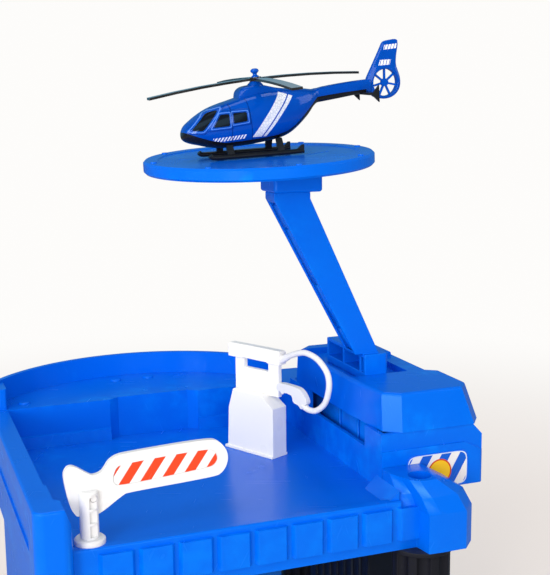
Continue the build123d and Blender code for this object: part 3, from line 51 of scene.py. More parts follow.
# %% [markdown]
# ## The camera
# The camera comes first, because every later choice is judged through it. It stands a little to
# the left of the garage and looks slightly down, with a lens longer than normal, which keeps
# upright edges nearly parallel. Its direction is given by yaw, pitch and a small roll. Building
# its matrix from its own right, up and back directions avoids any guess about Euler order.

# %% Camera
EYE = (-0.1860, -0.5897, 0.3320)       # metres
LENS, SENSOR = 66.68, 36.0             # millimetres
YAW, PITCH, ROLL = 20.6, 9.5, 0.6      # degrees


def look_directions(yaw, pitch, roll):
    """Right, up and back of a camera: turn about Z by yaw, dip by pitch, then roll about the view."""
    ahead = np.array([math.sin(yaw) * math.cos(pitch), math.cos(yaw) * math.cos(pitch), -math.sin(pitch)])
    level = np.array([math.cos(yaw), -math.sin(yaw), 0.0])
    down = np.cross(ahead, level)
    right_side = math.cos(roll) * level + math.sin(roll) * down
    down_side = -math.sin(roll) * level + math.cos(roll) * down
    return right_side, -down_side, -ahead


camera_data = bpy.data.cameras.new("camera")
camera_data.sensor_width = SENSOR
camera_data.lens = LENS
camera_data.clip_start, camera_data.clip_end = 0.01, 20.0
camera = bpy.data.objects.new("camera", camera_data)
scene.collection.objects.link(camera)
side, up, back = look_directions(math.radians(YAW), math.radians(PITCH), math.radians(ROLL))
camera.matrix_world = Matrix([[side[i], up[i], back[i], EYE[i]] for i in range(3)] + [[0, 0, 0, 1]])
scene.camera = camera
print("camera at", EYE, "lens", camera_data.lens)

# %% [markdown]
# ## Node helpers
# A shader is a small program drawn as boxes and wires, and the world and every plastic have one.
# A few helpers keep them readable. One adds a node with its inputs, some stand for the nodes used
# most, and one starts a group, which is a function that several materials can call.

# %% Helpers for shader nodes
def new_tree(owner):
    """The node tree of a material or a world, emptied."""
    owner.use_nodes = True
    owner.node_tree.nodes.clear()
    return owner.node_tree


def link(tree, *pairs):
    """Links output sockets to input sockets."""
    for start, end in pairs:
        tree.links.new(start, end)


def add(tree, kind, inputs=None, **settings):
    """Adds a shader node; an input is either a plain value or the socket that feeds it."""
    made = tree.nodes.new("ShaderNode" + kind)
    for name, value in settings.items():
        setattr(made, name, value)
    for name, value in (inputs or {}).items():
        if isinstance(value, bpy.types.NodeSocket):
            tree.links.new(value, made.inputs[name])
        else:
            made.inputs[name].default_value = value
    return made


def calc(tree, operation, a, b=0.0, c=0.0):
    """One Math node."""
    return add(tree, "Math", {0: a, 1: b, 2: c}, operation=operation).outputs[0]


def smooth_step(tree, value, low, high):
    """0 below low, 1 above high, and a soft ramp between them."""
    limits = {"Value": value, "From Min": low, "From Max": high}
    return add(tree, "MapRange", limits, interpolation_type="SMOOTHSTEP").outputs["Result"]


def blend_colour(tree, mask, a, b):
    """Colour a where the mask is 0 and b where it is 1; each may be a socket or three numbers."""
    ends = {"A": a if isinstance(a, bpy.types.NodeSocket) else (*a, 1.0),
            "B": b if isinstance(b, bpy.types.NodeSocket) else (*b, 1.0)}
    return add(tree, "Mix", {"Factor": mask, **ends}, data_type="RGBA").outputs["Result"]


def start_group(name, inputs, outputs):
    """A shader node group with float or vector inputs; gives the tree, its inputs and its end."""
    group = bpy.data.node_groups.new(name, "ShaderNodeTree")
    for label, value in inputs.items():
        kind = "NodeSocketVector" if isinstance(value, tuple) else "NodeSocketFloat"
        socket = group.interface.new_socket(label, in_out="INPUT", socket_type=kind)
        socket.default_value = value
    for label, kind in outputs.items():
        group.interface.new_socket(label, in_out="OUTPUT", socket_type="NodeSocket" + kind)
    return group, group.nodes.new("NodeGroupInput").outputs, group.nodes.new("NodeGroupOutput").inputs


def use_group(tree, group, **inputs):
    """Places a group in a material and gives its outputs."""
    return add(tree, "Group", inputs, node_tree=group).outputs


# %% [markdown]
# ## The background
# The toy stands before a nearly white background. More light would bleach the toy as well, so the
# world is white only for the camera and through panes, and a dimmer one does the lighting.
# Reflections see that dimmer world in blue, because a room that is white all round would lay a
# grey veil on blue plastic.

# %% World
WORLD_LIGHT = 0.42
BACKGROUND = (0.985, 0.975, 0.960)
LIT, MIRRORED = (1.0, 1.0, 1.0), (0.20, 0.62, 0.90)      # the room as light and as a reflection

world = bpy.data.worlds.new("studio")
scene.world = world
scene.view_settings.view_transform = "Standard"
tree = new_tree(world)
rays = add(tree, "LightPath").outputs
room = blend_colour(tree, rays["Is Glossy Ray"], LIT, MIRRORED)
light = add(tree, "Background", {"Color": room, "Strength": WORLD_LIGHT})
shown = add(tree, "Background", {"Color": (*BACKGROUND, 1.0)})
seen = calc(tree, "MAXIMUM", rays["Is Camera Ray"], rays["Is Transmission Ray"])
mixed = add(tree, "MixShader", {0: seen, 1: light.outputs[0], 2: shown.outputs[0]})
link(tree, (mixed.outputs[0], add(tree, "OutputWorld").inputs["Surface"]))
print("world of strength", WORLD_LIGHT)

# %% [markdown]
# ## The lamps
# Glossy plastic shows its lamps. Small ones would leave hard sparks, so all six are large soft
# boxes, whose highlights are broad and make the edges read as thin bright lines. The strongest
# stand high and low on the left, where the camera is, and the others lift the shadows.

# %% Lamps
SOFT_BOXES = [  # name, place, target, width and height in metres, power in watts
    ("key_box", (-0.9, -0.9, 1.3), (0.0, 0.0, 0.15), 0.9, 0.9, 7.5),
    ("low_box", (-1.0, -1.15, 0.38), (0.05, -0.05, 0.17), 0.42, 0.5, 8.0),
    ("front_box", (-0.1, -1.6, 0.6), (0.0, 0.0, 0.2), 0.9, 0.7, 6.2),
    ("left_box", (-1.3, -0.4, 0.6), (0.0, 0.0, 0.2), 0.8, 0.8, 6.0),
    ("right_box", (1.2, -0.6, 0.9), (0.0, 0.0, 0.2), 0.7, 1.0, 4.5),
    ("top_box", (0.0, 0.4, 1.5), (0.0, 0.0, 0.1), 1.0, 0.8, 3.5)]


def soft_box(name, place, target, width, height, power):
    """A rectangular area lamp at a place, turned towards a target."""
    lamp = bpy.data.lights.new(name, "AREA")
    lamp.shape = "RECTANGLE"
    lamp.size, lamp.size_y, lamp.energy = width, height, power
    obj = bpy.data.objects.new(name, lamp)
    scene.collection.objects.link(obj)
    obj.location = place
    obj.rotation_euler = (Vector(target) - Vector(place)).to_track_quat("-Z", "Y").to_euler()


for box in SOFT_BOXES:
    soft_box(*box)
print("lamps:", [box[0] for box in SOFT_BOXES])

# %% [markdown]
# ## Moulded skin
# Injection moulded plastic is never a perfect mirror. Its skin has a very fine grain from the
# steel mould and a slow waviness where it shrank. Both are far too fine to model, so two noises
# tilt the normal instead, and the slow one also varies the gloss.

# %% Group: moulded skin
skin, given, end = start_group("moulded skin",
                               {"Grain Scale": 2600.0, "Grain": 0.05, "Wave Scale": 55.0, "Wave": 0.04},
                               {"Normal": "Vector", "Gloss Change": "Float"})
where = add(skin, "TexCoord").outputs["Object"]
fine = add(skin, "TexNoise", {"Vector": where, "Scale": given["Grain Scale"], "Detail": 2.0}).outputs["Fac"]
slow = add(skin, "TexNoise", {"Vector": where, "Scale": given["Wave Scale"], "Detail": 1.0}).outputs["Fac"]
wavy = add(skin, "Bump", {"Height": slow, "Strength": given["Wave"], "Distance": 0.002})
grainy = add(skin, "Bump", {"Height": fine, "Strength": given["Grain"], "Distance": 0.0002,
                            "Normal": wavy.outputs["Normal"]})
link(skin, (grainy.outputs["Normal"], end["Normal"]),
     (calc(skin, "SUBTRACT", slow, 0.5), end["Gloss Change"]))
print("group:", skin.name)

# %% [markdown]
# ## Rubbed edges
# Hands rub the edges of a toy a little paler. Pointiness is above a half on outer edges, so it
# finds them without any painting, and a noise breaks the wear up, as an even line looks drawn.

# %% Group: rubbed edges
rubbed, given, end = start_group("rubbed edges", {"Amount": 0.5, "Patch Scale": 90.0}, {"Mask": "Float"})
point = add(rubbed, "NewGeometry").outputs["Pointiness"]
patch = add(rubbed, "TexNoise", {"Vector": add(rubbed, "TexCoord").outputs["Object"],
                                 "Scale": given["Patch Scale"], "Detail": 4.0}).outputs["Fac"]
edge = smooth_step(rubbed, point, 0.515, 0.60)
broken = calc(rubbed, "MULTIPLY", edge, smooth_step(rubbed, patch, 0.35, 0.75))
link(rubbed, (calc(rubbed, "MULTIPLY", broken, given["Amount"]), end["Mask"]))
print("group:", rubbed.name)

# %% [markdown]
# ## Settled dust
# Dust lies on what faces up. The height of the normal finds those faces, and a noise with much
# detail leaves the dust in patches and specks.

# %% Group: settled dust
dust, given, end = start_group("settled dust", {"Amount": 0.1, "Patch Scale": 45.0}, {"Mask": "Float"})
facing = add(dust, "SeparateXYZ", {0: add(dust, "NewGeometry").outputs["Normal"]}).outputs["Z"]
speck = add(dust, "TexNoise", {"Vector": add(dust, "TexCoord").outputs["Object"], "Detail": 6.0,
                               "Scale": given["Patch Scale"], "Roughness": 0.65}).outputs["Fac"]
lying = calc(dust, "MULTIPLY", smooth_step(dust, facing, 0.75, 1.0), smooth_step(dust, speck, 0.4, 0.8))
link(dust, (calc(dust, "MULTIPLY", lying, given["Amount"]), end["Mask"]))
print("group:", dust.name)

# %% [markdown]
# ## Fine scratches
# Play leaves fine straight scratches. A noise stretched along one direction and squeezed across
# it makes streaks, and only its highest values are kept. Two sets at different turns cross.

# %% Group: fine scratches
TURN_AND_ACROSS = ((0.4, 900.0), (2.1, 700.0))      # radians, and how finely the streaks lie
scratched, given, end = start_group("fine scratches", {"Amount": 0.1, "Length": 9.0}, {"Mask": "Float"})
where = add(scratched, "TexCoord").outputs["Object"]
hits = []
for turn, across in TURN_AND_ACROSS:
    turned_place = add(scratched, "Mapping", {"Vector": where, "Rotation": (0.3, 0.2, turn)}).outputs[0]
    parts = add(scratched, "SeparateXYZ", {0: turned_place}).outputs
    squeezed = add(scratched, "CombineXYZ", {0: calc(scratched, "MULTIPLY", parts[0], given["Length"]),
                                             1: calc(scratched, "MULTIPLY", parts[1], across),
                                             2: calc(scratched, "MULTIPLY", parts[2], 60.0)})
    streaks = add(scratched, "TexNoise", {"Vector": squeezed.outputs[0], "Scale": 1.0, "Detail": 1.0})
    hits.append(smooth_step(scratched, streaks.outputs["Fac"], 0.70, 0.76))
both = calc(scratched, "MAXIMUM", *hits)
link(scratched, (calc(scratched, "MULTIPLY", both, given["Amount"]), end["Mask"]))
print("group:", scratched.name)

# %% [markdown]
# ## A recipe for moulded plastic
# All the plastics here follow one recipe with their own values: a colour, a paler worn colour at
# the edges, dust on top, a roughness that scratches raise, and the moulded skin as the normal. A
# dyed plastic reflects a little of its own colour when it is seen straight on, so the specular
# tint is the plastic's own; seen at a low angle it still mirrors white.

# %% Plastic recipe
SCRATCHES, GLOSS_CHANGE, DUST_ROUGHNESS = 0.03, 0.12, 0.6
GREY_DUST = (0.50, 0.52, 0.55)


def moulded_plastic(name, colour, worn, rough, tint, grain=0.05, wave=0.04, edges=0.5, dusty=0.08, coat=0.0,
                    level=0.4, soil=GREY_DUST):
    """A plastic of one colour: worn at rubbed edges, soiled by dust, rougher by dust and scratches."""
    material = bpy.data.materials.new(name)
    tree = new_tree(material)
    surface = use_group(tree, skin, Grain=grain, Wave=wave)
    rub = use_group(tree, rubbed, Amount=edges)["Mask"]
    grey = use_group(tree, dust, Amount=dusty)["Mask"]
    lines = use_group(tree, scratched, Amount=SCRATCHES)["Mask"]
    soiled = blend_colour(tree, grey, blend_colour(tree, rub, colour, worn), soil)
    varied = calc(tree, "MULTIPLY_ADD", surface["Gloss Change"], GLOSS_CHANGE, rough)
    scuffed = calc(tree, "ADD", varied, lines)
    roughness = calc(tree, "ADD", scuffed, calc(tree, "MULTIPLY", grey, DUST_ROUGHNESS))
    shader = add(tree, "BsdfPrincipled", {"Base Color": soiled, "Roughness": roughness, "IOR": 1.49,
                                          "Specular Tint": (*tint, 1.0), "Specular IOR Level": level,
                                          "Normal": surface["Normal"], "Coat Weight": coat,
                                          "Coat Roughness": 0.08})
    link(tree, (shader.outputs[0], add(tree, "OutputMaterial").inputs["Surface"]))
    return material


def paint_of(material):
    """The tree of a plastic, its shader, and the socket that gives its colour."""
    shader = material.node_tree.nodes["Principled BSDF"]
    return material.node_tree, shader, shader.inputs["Base Color"].links[0].from_socket


# %% [markdown]
# ## The toy's plastics
# The garage is a strong blue. Its pillars and the lift's platform are black with a coarser grain,
# the small moving parts are white, and the helicopter's details are a darker, glossier blue and black.
# The pump is the same white painted brighter and warmer: painted light, which cancels the blue light bounced
# onto it.

# %% Plastics of one colour
BLUE, BLUE_WORN, BLUE_TINT = (0.0, 0.128, 0.73), (0.0, 0.24, 0.92), (0.30, 0.68, 1.0)
BLACK, BLACK_WORN, BLACK_TINT = (0.010, 0.010, 0.013), (0.05, 0.05, 0.055), (0.6, 0.6, 0.7)
NO_TINT = (1.0, 1.0, 1.0)
garage_blue = moulded_plastic("garage blue", BLUE, BLUE_WORN, 0.24, BLUE_TINT, 0.02, 0.02, dusty=0.04,
                              level=0.32, soil=(0.02, 0.20, 0.66))
pillar_black = moulded_plastic("pillar black", BLACK, BLACK_WORN, 0.45, BLACK_TINT, grain=0.16, level=0.25)
toy_white = moulded_plastic("toy white", (0.77, 0.77, 0.765), (0.82, 0.82, 0.82), 0.30, NO_TINT, dusty=0.03)
# painted light: the pump's white is brighter and warmer than the other white, to cancel blue bounce light
pump_white_painted_lit = moulded_plastic("pump white painted brighter", (0.97, 0.95, 0.87), (0.97, 0.96, 0.92), 0.30, NO_TINT, dusty=0.03)
heli_black = moulded_plastic("helicopter black", (0.008, 0.008, 0.010), (0.04, 0.04, 0.04), 0.34,
                             (0.7, 0.7, 0.7), grain=0.08)
heli_blue = moulded_plastic("helicopter blue", (0.0, 0.070, 0.46), (0.0, 0.15, 0.75), 0.18, BLUE_TINT,
                            coat=0.25, level=0.3)
print("plastics:", [m.name for m in bpy.data.materials])

# %% [markdown]
# ## A painted highlight and a two-tone part
# The rotor's black blades get a painted grey highlight on their upward faces, and the lift's shaft is black
# up to the deck and blue above it. Each is one solid, so cutting it in two would leave a seam. A mask from
# the way the surface faces, or from its height, changes the colour within one plastic instead.

# %% Blades and shaft
PAINTED_BLADE_HIGHLIGHT = (0.32, 0.31, 0.30)
SHAFT_CHANGE = (0.1245, 0.1247)      # where black ends and blue starts, metres
blade_black = moulded_plastic("blade black", (0.012, 0.011, 0.010), (0.05, 0.05, 0.05), 0.13, NO_TINT,
                              grain=0.01, coat=0.6)
tree, shader, black = paint_of(blade_black)
upward = add(tree, "SeparateXYZ", {0: add(tree, "NewGeometry").outputs["Normal"]}).outputs[2]
# painted highlight: faces of the blades that point up are coloured grey
blade_highlight = blend_colour(tree, smooth_step(tree, upward, 0.80, 0.97), black, PAINTED_BLADE_HIGHLIGHT)
link(tree, (blade_highlight, shader.inputs["Base Color"]))

shaft_two_tone = moulded_plastic("shaft black and blue", BLACK, BLACK_WORN, 0.38, BLUE_TINT, grain=0.10,
                                 level=0.25)
tree, shader, black = paint_of(shaft_two_tone)
height = add(tree, "SeparateXYZ", {0: add(tree, "TexCoord").outputs["Object"]}).outputs[2]
tones = blend_colour(tree, smooth_step(tree, height, *SHAFT_CHANGE), black, BLUE)
link(tree, (tones, shader.inputs["Base Color"]))
print("two colours:", blade_black.name, "and", shaft_two_tone.name)

# %% [markdown]
# ## Slanted stripes
# Labels and hatches are made of slanted stripes. A texture file would do, but a pattern worked out
# from the position is sharp at any distance. The place, in millimetres, is sheared by the lean and
# wrapped at the period, and what lies nearer to a stripe's middle than half its width is inside.

# %% Group: slanted stripes
stripes, given, end = start_group("slanted stripes", {"Place": (0.0, 0.0, 0.0), "Lean": 0.6, "Start": 0.0,
                                                      "Period": 10.0, "Width": 5.0}, {"Mask": "Float"})
split = add(stripes, "SeparateXYZ", {0: given["Place"]}).outputs
level = calc(stripes, "SUBTRACT", split[0], calc(stripes, "MULTIPLY", split[2], given["Lean"]))
half = calc(stripes, "MULTIPLY", given["Width"], 0.5)
middle = calc(stripes, "SUBTRACT", calc(stripes, "SUBTRACT", level, given["Start"]), half)
reach = calc(stripes, "MULTIPLY", given["Period"], 0.5)
wrapped = calc(stripes, "WRAP", middle, reach, calc(stripes, "MULTIPLY", reach, -1.0))
inside = calc(stripes, "SUBTRACT", half, calc(stripes, "ABSOLUTE", wrapped))
link(stripes, (smooth_step(stripes, inside, -0.06, 0.06), end["Mask"]))
print("group:", stripes.name)

# %% [markdown]
# ## Panels with four sides
# Panes, bands and labels are flat panels with straight sides. A panel's field is the distance, in
# millimetres, to its nearest side, positive inside, so the same number gives a filled panel, a
# frame or a groove. A smooth minimum of the four distances rounds the corners.

# %% Group: four-sided panel
panel, given, end = start_group("four-sided panel", {"Place": (0.0, 0.0, 0.0), "A": (0.0, 0.0, 0.0),
                                                     "B": (1.0, 0.0, 0.0), "C": (1.0, 0.0, 1.0),
                                                     "D": (0.0, 0.0, 1.0), "Round": 0.5}, {"Inside": "Float"})
nearest = None
for first, second in ("AB", "BC", "CD", "DA"):
    along = add(panel, "VectorMath", {0: given[second], 1: given[first]}, operation="SUBTRACT").outputs[0]
    along = add(panel, "VectorMath", {0: along}, operation="NORMALIZE").outputs[0]
    inward = add(panel, "VectorMath", {0: along, 1: (0.0, 1.0, 0.0)}, operation="CROSS_PRODUCT").outputs[0]
    offset = add(panel, "VectorMath", {0: given["Place"], 1: given[first]}, operation="SUBTRACT").outputs[0]
    far_in = add(panel, "VectorMath", {0: offset, 1: inward}, operation="DOT_PRODUCT").outputs["Value"]
    nearest = far_in if nearest is None else calc(panel, "SMOOTH_MIN", nearest, far_in, given["Round"])
link(panel, (nearest, end["Inside"]))
print("group:", panel.name)

# %% [markdown]
# ## Places, fills and lines
# A pattern needs its own place on the toy. A Mapping node of the Texture kind turns the object's
# coordinates, in metres, into millimetres from an origin, and turns them where a piece leans. A
# soft step on a panel's field then makes a fill, and another one a line.

# %% Helpers for printed patterns
SOFT = 0.05      # half the width of a print's soft edge, millimetres


def flat_place(tree, origin, turn=(0.0, 0.0, 0.0)):
    """Position in millimetres from an origin given in metres, in a frame turned by turn."""
    where = add(tree, "TexCoord").outputs["Object"]
    print_frame = {"Vector": where, "Location": origin, "Rotation": turn, "Scale": (MM, MM, MM)}
    return add(tree, "Mapping", print_frame, vector_type="TEXTURE").outputs[0]


def panel_field(tree, place, corners, round_by=0.5):
    """Distance inside a panel whose corners (x, z) go round anticlockwise."""
    values = {key: (x, 0.0, z) for key, (x, z) in zip("ABCD", corners)}
    return use_group(tree, panel, Place=place, Round=round_by, **values)["Inside"]


def filled(tree, field, inset=0.0):
    """1 where a field is more than inset, with a thin soft edge."""
    return smooth_step(tree, field, inset - SOFT, inset + SOFT)


def outline(tree, field, at, width):
    """1 on a line of some width where a field has the value at."""
    off = calc(tree, "ABSOLUTE", calc(tree, "SUBTRACT", field, at))
    return smooth_step(tree, calc(tree, "SUBTRACT", 0.5 * width, off), -SOFT, SOFT)


def sticker_paper(name):
    """The plastic of a printed sticker before its print: pale, smooth, without rubbed edges."""
    pale = (0.9, 0.9, 0.9)
    return moulded_plastic(name, pale, pale, 0.25, NO_TINT, grain=0.01, edges=0.0, dusty=0.02)


# %% [markdown]
# ## The tower's label
# The tower carries a sticker with blue and white warning stripes and a plain yellow disc in a red
# ring. The sticker is a thin solid already, so only its colour is missing. Each step lays one
# more shape over the colours before it, as printing does: stripes, ring, disc, border and a line.

# %% Tower label
TOWER_CORNER = (0.064, -0.088, 0.150)      # metres
LABEL, LABEL_ROUND = [(15.0, -27.9), (53.6, -27.9), (53.6, -7.4), (15.0, -7.4)], 8.0
TOWER_STRIPES = {"Lean": 0.58, "Start": 24.0, "Period": 11.95, "Width": 5.7}
DISC_MIDDLE, RING_RADIUS, DISC_RADIUS = (35.6, 0.0, -18.6), 7.4, 6.5
STRIPE_BLUE, STRIPE_WHITE = (0.0, 0.098, 0.56), (0.76, 0.74, 0.72)
RING_RED, DISC_YELLOW, LINE_GREY = (0.62, 0.06, 0.01), (0.90, 0.52, 0.01), (0.62, 0.70, 0.80)

tower_print = sticker_paper("tower label print")
tree, shader, _ = paint_of(tower_print)
place = flat_place(tree, TOWER_CORNER)
field = panel_field(tree, place, LABEL, LABEL_ROUND)
bands = use_group(tree, stripes, Place=place, **TOWER_STRIPES)["Mask"]
colour = blend_colour(tree, bands, STRIPE_BLUE, STRIPE_WHITE)
centre = add(tree, "VectorMath", {0: place, 1: DISC_MIDDLE}, operation="SUBTRACT").outputs[0]
flat = add(tree, "VectorMath", {0: centre, 1: (1.0, 0.0, 1.0)}, operation="MULTIPLY").outputs[0]
radius = add(tree, "VectorMath", {0: flat}, operation="LENGTH").outputs["Value"]
for size, ink in ((RING_RADIUS, RING_RED), (DISC_RADIUS, DISC_YELLOW)):
    within = smooth_step(tree, calc(tree, "SUBTRACT", size, radius), -0.1, 0.1)
    colour = blend_colour(tree, within, colour, ink)
colour = blend_colour(tree, filled(tree, field, 1.0), BLUE, colour)
colour = blend_colour(tree, outline(tree, field, 0.85, 0.5), colour, LINE_GREY)
link(tree, (colour, shader.inputs["Base Color"]))
print("label print:", tower_print.name)

# %% [markdown]
# ## The barrier's stripes
# The barrier's blade is striped red and white. The stripes are placed from the post, but in the
# blade's own coordinates, so they travel with the blade when it lifts.

# %% Barrier stripes
POST = (-0.0995, -0.1025, 0.1496)      # metres
BARRIER_STRIPES = {"Lean": 0.70, "Start": 11.9, "Period": 10.6, "Width": 5.4}
BARRIER_WHITE, BARRIER_RED = (0.79, 0.79, 0.785), (0.78, 0.055, 0.010)

barrier_print = sticker_paper("barrier stripe print")
tree, shader, _ = paint_of(barrier_print)
reds = use_group(tree, stripes, Place=flat_place(tree, POST), **BARRIER_STRIPES)["Mask"]
link(tree, (blend_colour(tree, reds, BARRIER_WHITE, BARRIER_RED), shader.inputs["Base Color"]))
print("barrier print:", barrier_print.name)

# %% [markdown]
# ## Rounded edges
# A moulded edge is never sharp, and its rounding is what catches the light. A shader could fake
# it, but then the outline stays sharp, so a Bevel modifier does it. Before that, a Weld joins the
# loose triangles of a solid and a planar Decimate dissolves the lines on its flat faces. The
# solids themselves stay as they are.

# %% Helpers for finish and edges
SHARP = 32.0      # edges that turn by more than this are rounded, degrees


def give(obj, material):
    """Makes one material the only one of an object."""
    obj.data.materials.clear()
    obj.data.materials.append(material)


def round_edges(obj, radius, sharp=SHARP):
    """Bevel of the sharp edges, radius in metres, with normals weighted by face area."""
    bevel = obj.modifiers.new("round", "BEVEL")
    bevel.width, bevel.segments = radius, 2
    bevel.limit_method, bevel.angle_limit = "ANGLE", math.radians(sharp)
    bevel.use_clamp_overlap = True
    obj.data.polygons.foreach_set("use_smooth", np.ones(len(obj.data.polygons), bool))
    even = obj.modifiers.new("even", "WEIGHTED_NORMAL")
    even.keep_sharp = True


def soften(obj, radius):
    """Welds and flattens a solid of loose triangles, then rounds its sharp edges."""
    weld = obj.modifiers.new("weld", "WELD")
    weld.merge_threshold = 1e-6
    dissolve = obj.modifiers.new("flatten", "DECIMATE")
    dissolve.decimate_type = "DISSOLVE"
    dissolve.angle_limit = math.radians(0.5)
    round_edges(obj, radius)


# %% [markdown]
# ## Every solid gets its plastic
# One list says which pieces share a plastic, as the real pieces come out of a few moulds, and
# another gives the edge radius of those that differ from the usual one. The large blue pieces
# have rounder edges, and the thin ones finer edges, which a large bevel would eat.

# %% Dress the solids
FINISHES = [
    (garage_blue, ["base_tray", "side_wall", "deck_tray", "rear_terrace", "corner_socket", "tower_body",
                   "tower_cap", "helipad_arm", "pad_collar", "helipad_disc", "lift_knob"]),
    (pillar_black, ["pillar_front_right", "pillar_front_left", "pillar_rear_left", "pillar_rear_right",
                    "lift_platform"]),
    (shaft_two_tone, ["lift_shaft"]),
    (blade_black, ["rotor_blades"]),
    (toy_white, ["gear_rack", "lift_pinion", "barrier_post", "barrier_pin", "barrier_arm"]),
    (pump_white_painted_lit, ["pump_body", "pump_hose"]),
    (tower_print, ["tower_stripe_label"]),
    (barrier_print, ["barrier_stripe_label"]),
    (heli_blue, ["heli_shell", "heli_tail_fan", "rotor_cap", "heli_mast", "heli_windows"]),
    (heli_black, ["heli_belly", "heli_skids", "heli_stabiliser"])]
USUAL_RADIUS = 0.6      # millimetres, as the radii below
EDGE_RADIUS = {"side_wall": 1.4, "corner_socket": 1.3, "tower_cap": 0.9, "tower_body": 0.9,
               "helipad_disc": 0.4, "lift_knob": 0.4, "rotor_blades": 0.15, "heli_stabiliser": 0.15,
               "barrier_pin": 0.15, "heli_tail_fan": 0.1, "heli_mast": 0.1, "rotor_cap": 0.1,
               "gear_rack": 0.1, "lift_pinion": 0.1, "tower_stripe_label": 0.08,
               "barrier_stripe_label": 0.05}
for material, members in FINISHES:
    for name in members:
        give(nodes[name], material)
        soften(nodes[name], EDGE_RADIUS.get(name, USUAL_RADIUS) * MM)
print("dressed", sum(len(members) for _, members in FINISHES), "solids")

# %% [markdown]
# ## Grids of points
# Most new pieces below are one grid of points: rows along the piece, columns round it. A few
# helpers cover them all. Smooth rows run a cubic curve through a few chosen rows, the faces of a
# grid are worked out by index, and a lid closes each end. Lengths are in millimetres.

# %% Helpers for grids
def smooth_rows(knots, count):
    """Rows on a cubic curve through the knots; the slope at a knot is half its neighbours' difference."""
    knots = np.asarray(knots, float)
    slope = np.gradient(knots, axis=0)
    t = np.linspace(0, len(knots) - 1, count)
    k = np.minimum(t.astype(int), len(knots) - 2)
    u = (t - k)[:, None]
    return ((2 * u**3 - 3 * u**2 + 1) * knots[k] + (u**3 - 2 * u**2 + u) * slope[k]
            + (3 * u**2 - 2 * u**3) * knots[k + 1] + (u**3 - u**2) * slope[k + 1])


def grid_faces(rows, columns, wrap, first=0):
    """Quads of a grid of points; with wrap, the last column joins the first."""
    i, j = np.meshgrid(np.arange(rows - 1), np.arange(columns if wrap else columns - 1), indexing="ij")
    k = (j + 1) % columns
    here, above = i * columns, (i + 1) * columns
    quads = np.stack([here + j, here + k, above + k, above + j], axis=-1)
    return (quads.reshape(-1, 4) + first).tolist()


def closed_tube(points):
    """Faces of a grid of rings, with a lid on the first and on the last ring."""
    rows, columns = points.shape[:2]
    start = np.arange(columns)[::-1].tolist()
    finish = ((rows - 1) * columns + np.arange(columns)).tolist()
    return grid_faces(rows, columns, True) + [start, finish]


def make_mesh(name, shells, material, body=None):
    """One object out of shells of points and faces, with its finish and body."""
    points = np.concatenate([shell.reshape(-1, 3) for shell, _ in shells])
    faces, first = [], 0
    for shell, shell_faces in shells:
        faces += [[v + first for v in face] for face in shell_faces]
        first += shell.size // 3
    mesh = bpy.data.meshes.new(name)
    mesh.from_pydata((points * MM).tolist(), [], faces)
    mesh.update()
    obj = bpy.data.objects.new(name, mesh)
    scene.collection.objects.link(obj)
    mesh.polygons.foreach_set("use_smooth", np.ones(len(mesh.polygons), bool))
    give(obj, material)
    if body:
        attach(obj, body)
    print(name, len(mesh.vertices), "points", "body", body)
    return obj


def point_outwards(obj):
    """Merges doubled points and turns every face outwards."""
    work = bmesh.new()
    work.from_mesh(obj.data)
    bmesh.ops.remove_doubles(work, verts=work.verts, dist=1e-6)
    bmesh.ops.recalc_face_normals(work, faces=work.faces)
    work.to_mesh(obj.data)
    work.free()


# %% [markdown]
# ## Plates with an outline
# The barrier's blade and the pump's nozzle are flat mouldings with a rounded outline. Cutting each
# corner of a rough outline at a quarter and three quarters of its sides, a few times over, rounds
# it evenly. Triangulating the outline with its recess as a hole gives a plate with a sunk panel,
# without a Boolean.

# %% Helpers for plates
def cut_corners(points, times=3):
    """Chaikin's rule: each side keeps its points at 1/4 and 3/4, so every corner is cut, times over."""
    p = np.asarray(points, float)
    for _ in range(times):
        following = np.roll(p, -1, axis=0)
        p = np.stack([0.75 * p + 0.25 * following, 0.25 * p + 0.75 * following], axis=1).reshape(-1, 2)
    return p


def stand_up(outline_xz, y):
    """Points (x, z) stood up in the plane at y."""
    return np.stack([outline_xz[:, 0], np.full(len(outline_xz), y), outline_xz[:, 1]], axis=1)


def triangles(loops):
    """Triangles of an outline with holes, as indices into the loops joined end to end."""
    found = tessellate_polygon([[Vector((x, z, 0.0)) for x, z in loop] for loop in loops])
    return np.array([list(triangle) for triangle in found])


def plate(outline_xz, front, back, recess=None, depth=0.0):
    """A plate between two planes of y, with a recess sunk in its front; rings joined by walls and lids."""
    n = len(outline_xz)
    rings = [stand_up(outline_xz, front), stand_up(outline_xz, back)]
    lid = triangles([outline_xz])
    faces = grid_faces(2, n, True) + (lid[:, ::-1] + n).tolist()
    if recess is None:
        return np.concatenate(rings), faces + lid.tolist()
    m = len(recess)
    rings += [stand_up(recess, front), stand_up(recess, front + depth)]
    index = np.concatenate([np.arange(n), 2 * n + np.arange(m)])
    faces += index[triangles([outline_xz, recess])].tolist()
    faces += [face[::-1] for face in grid_faces(2, m, True, 2 * n)]
    faces += (triangles([recess]) + 2 * n + m).tolist()
    return np.concatenate(rings), faces


# %% [markdown]
# ## The barrier's blade
# The blade is a white moulding with a round end, a sunk panel for its stripes and a head that
# hooks over the post's pin. The stripes fill the sunk panel as a sticker does. Both ride the
# barrier, so that they lift together, and each stands in for a plainer solid.

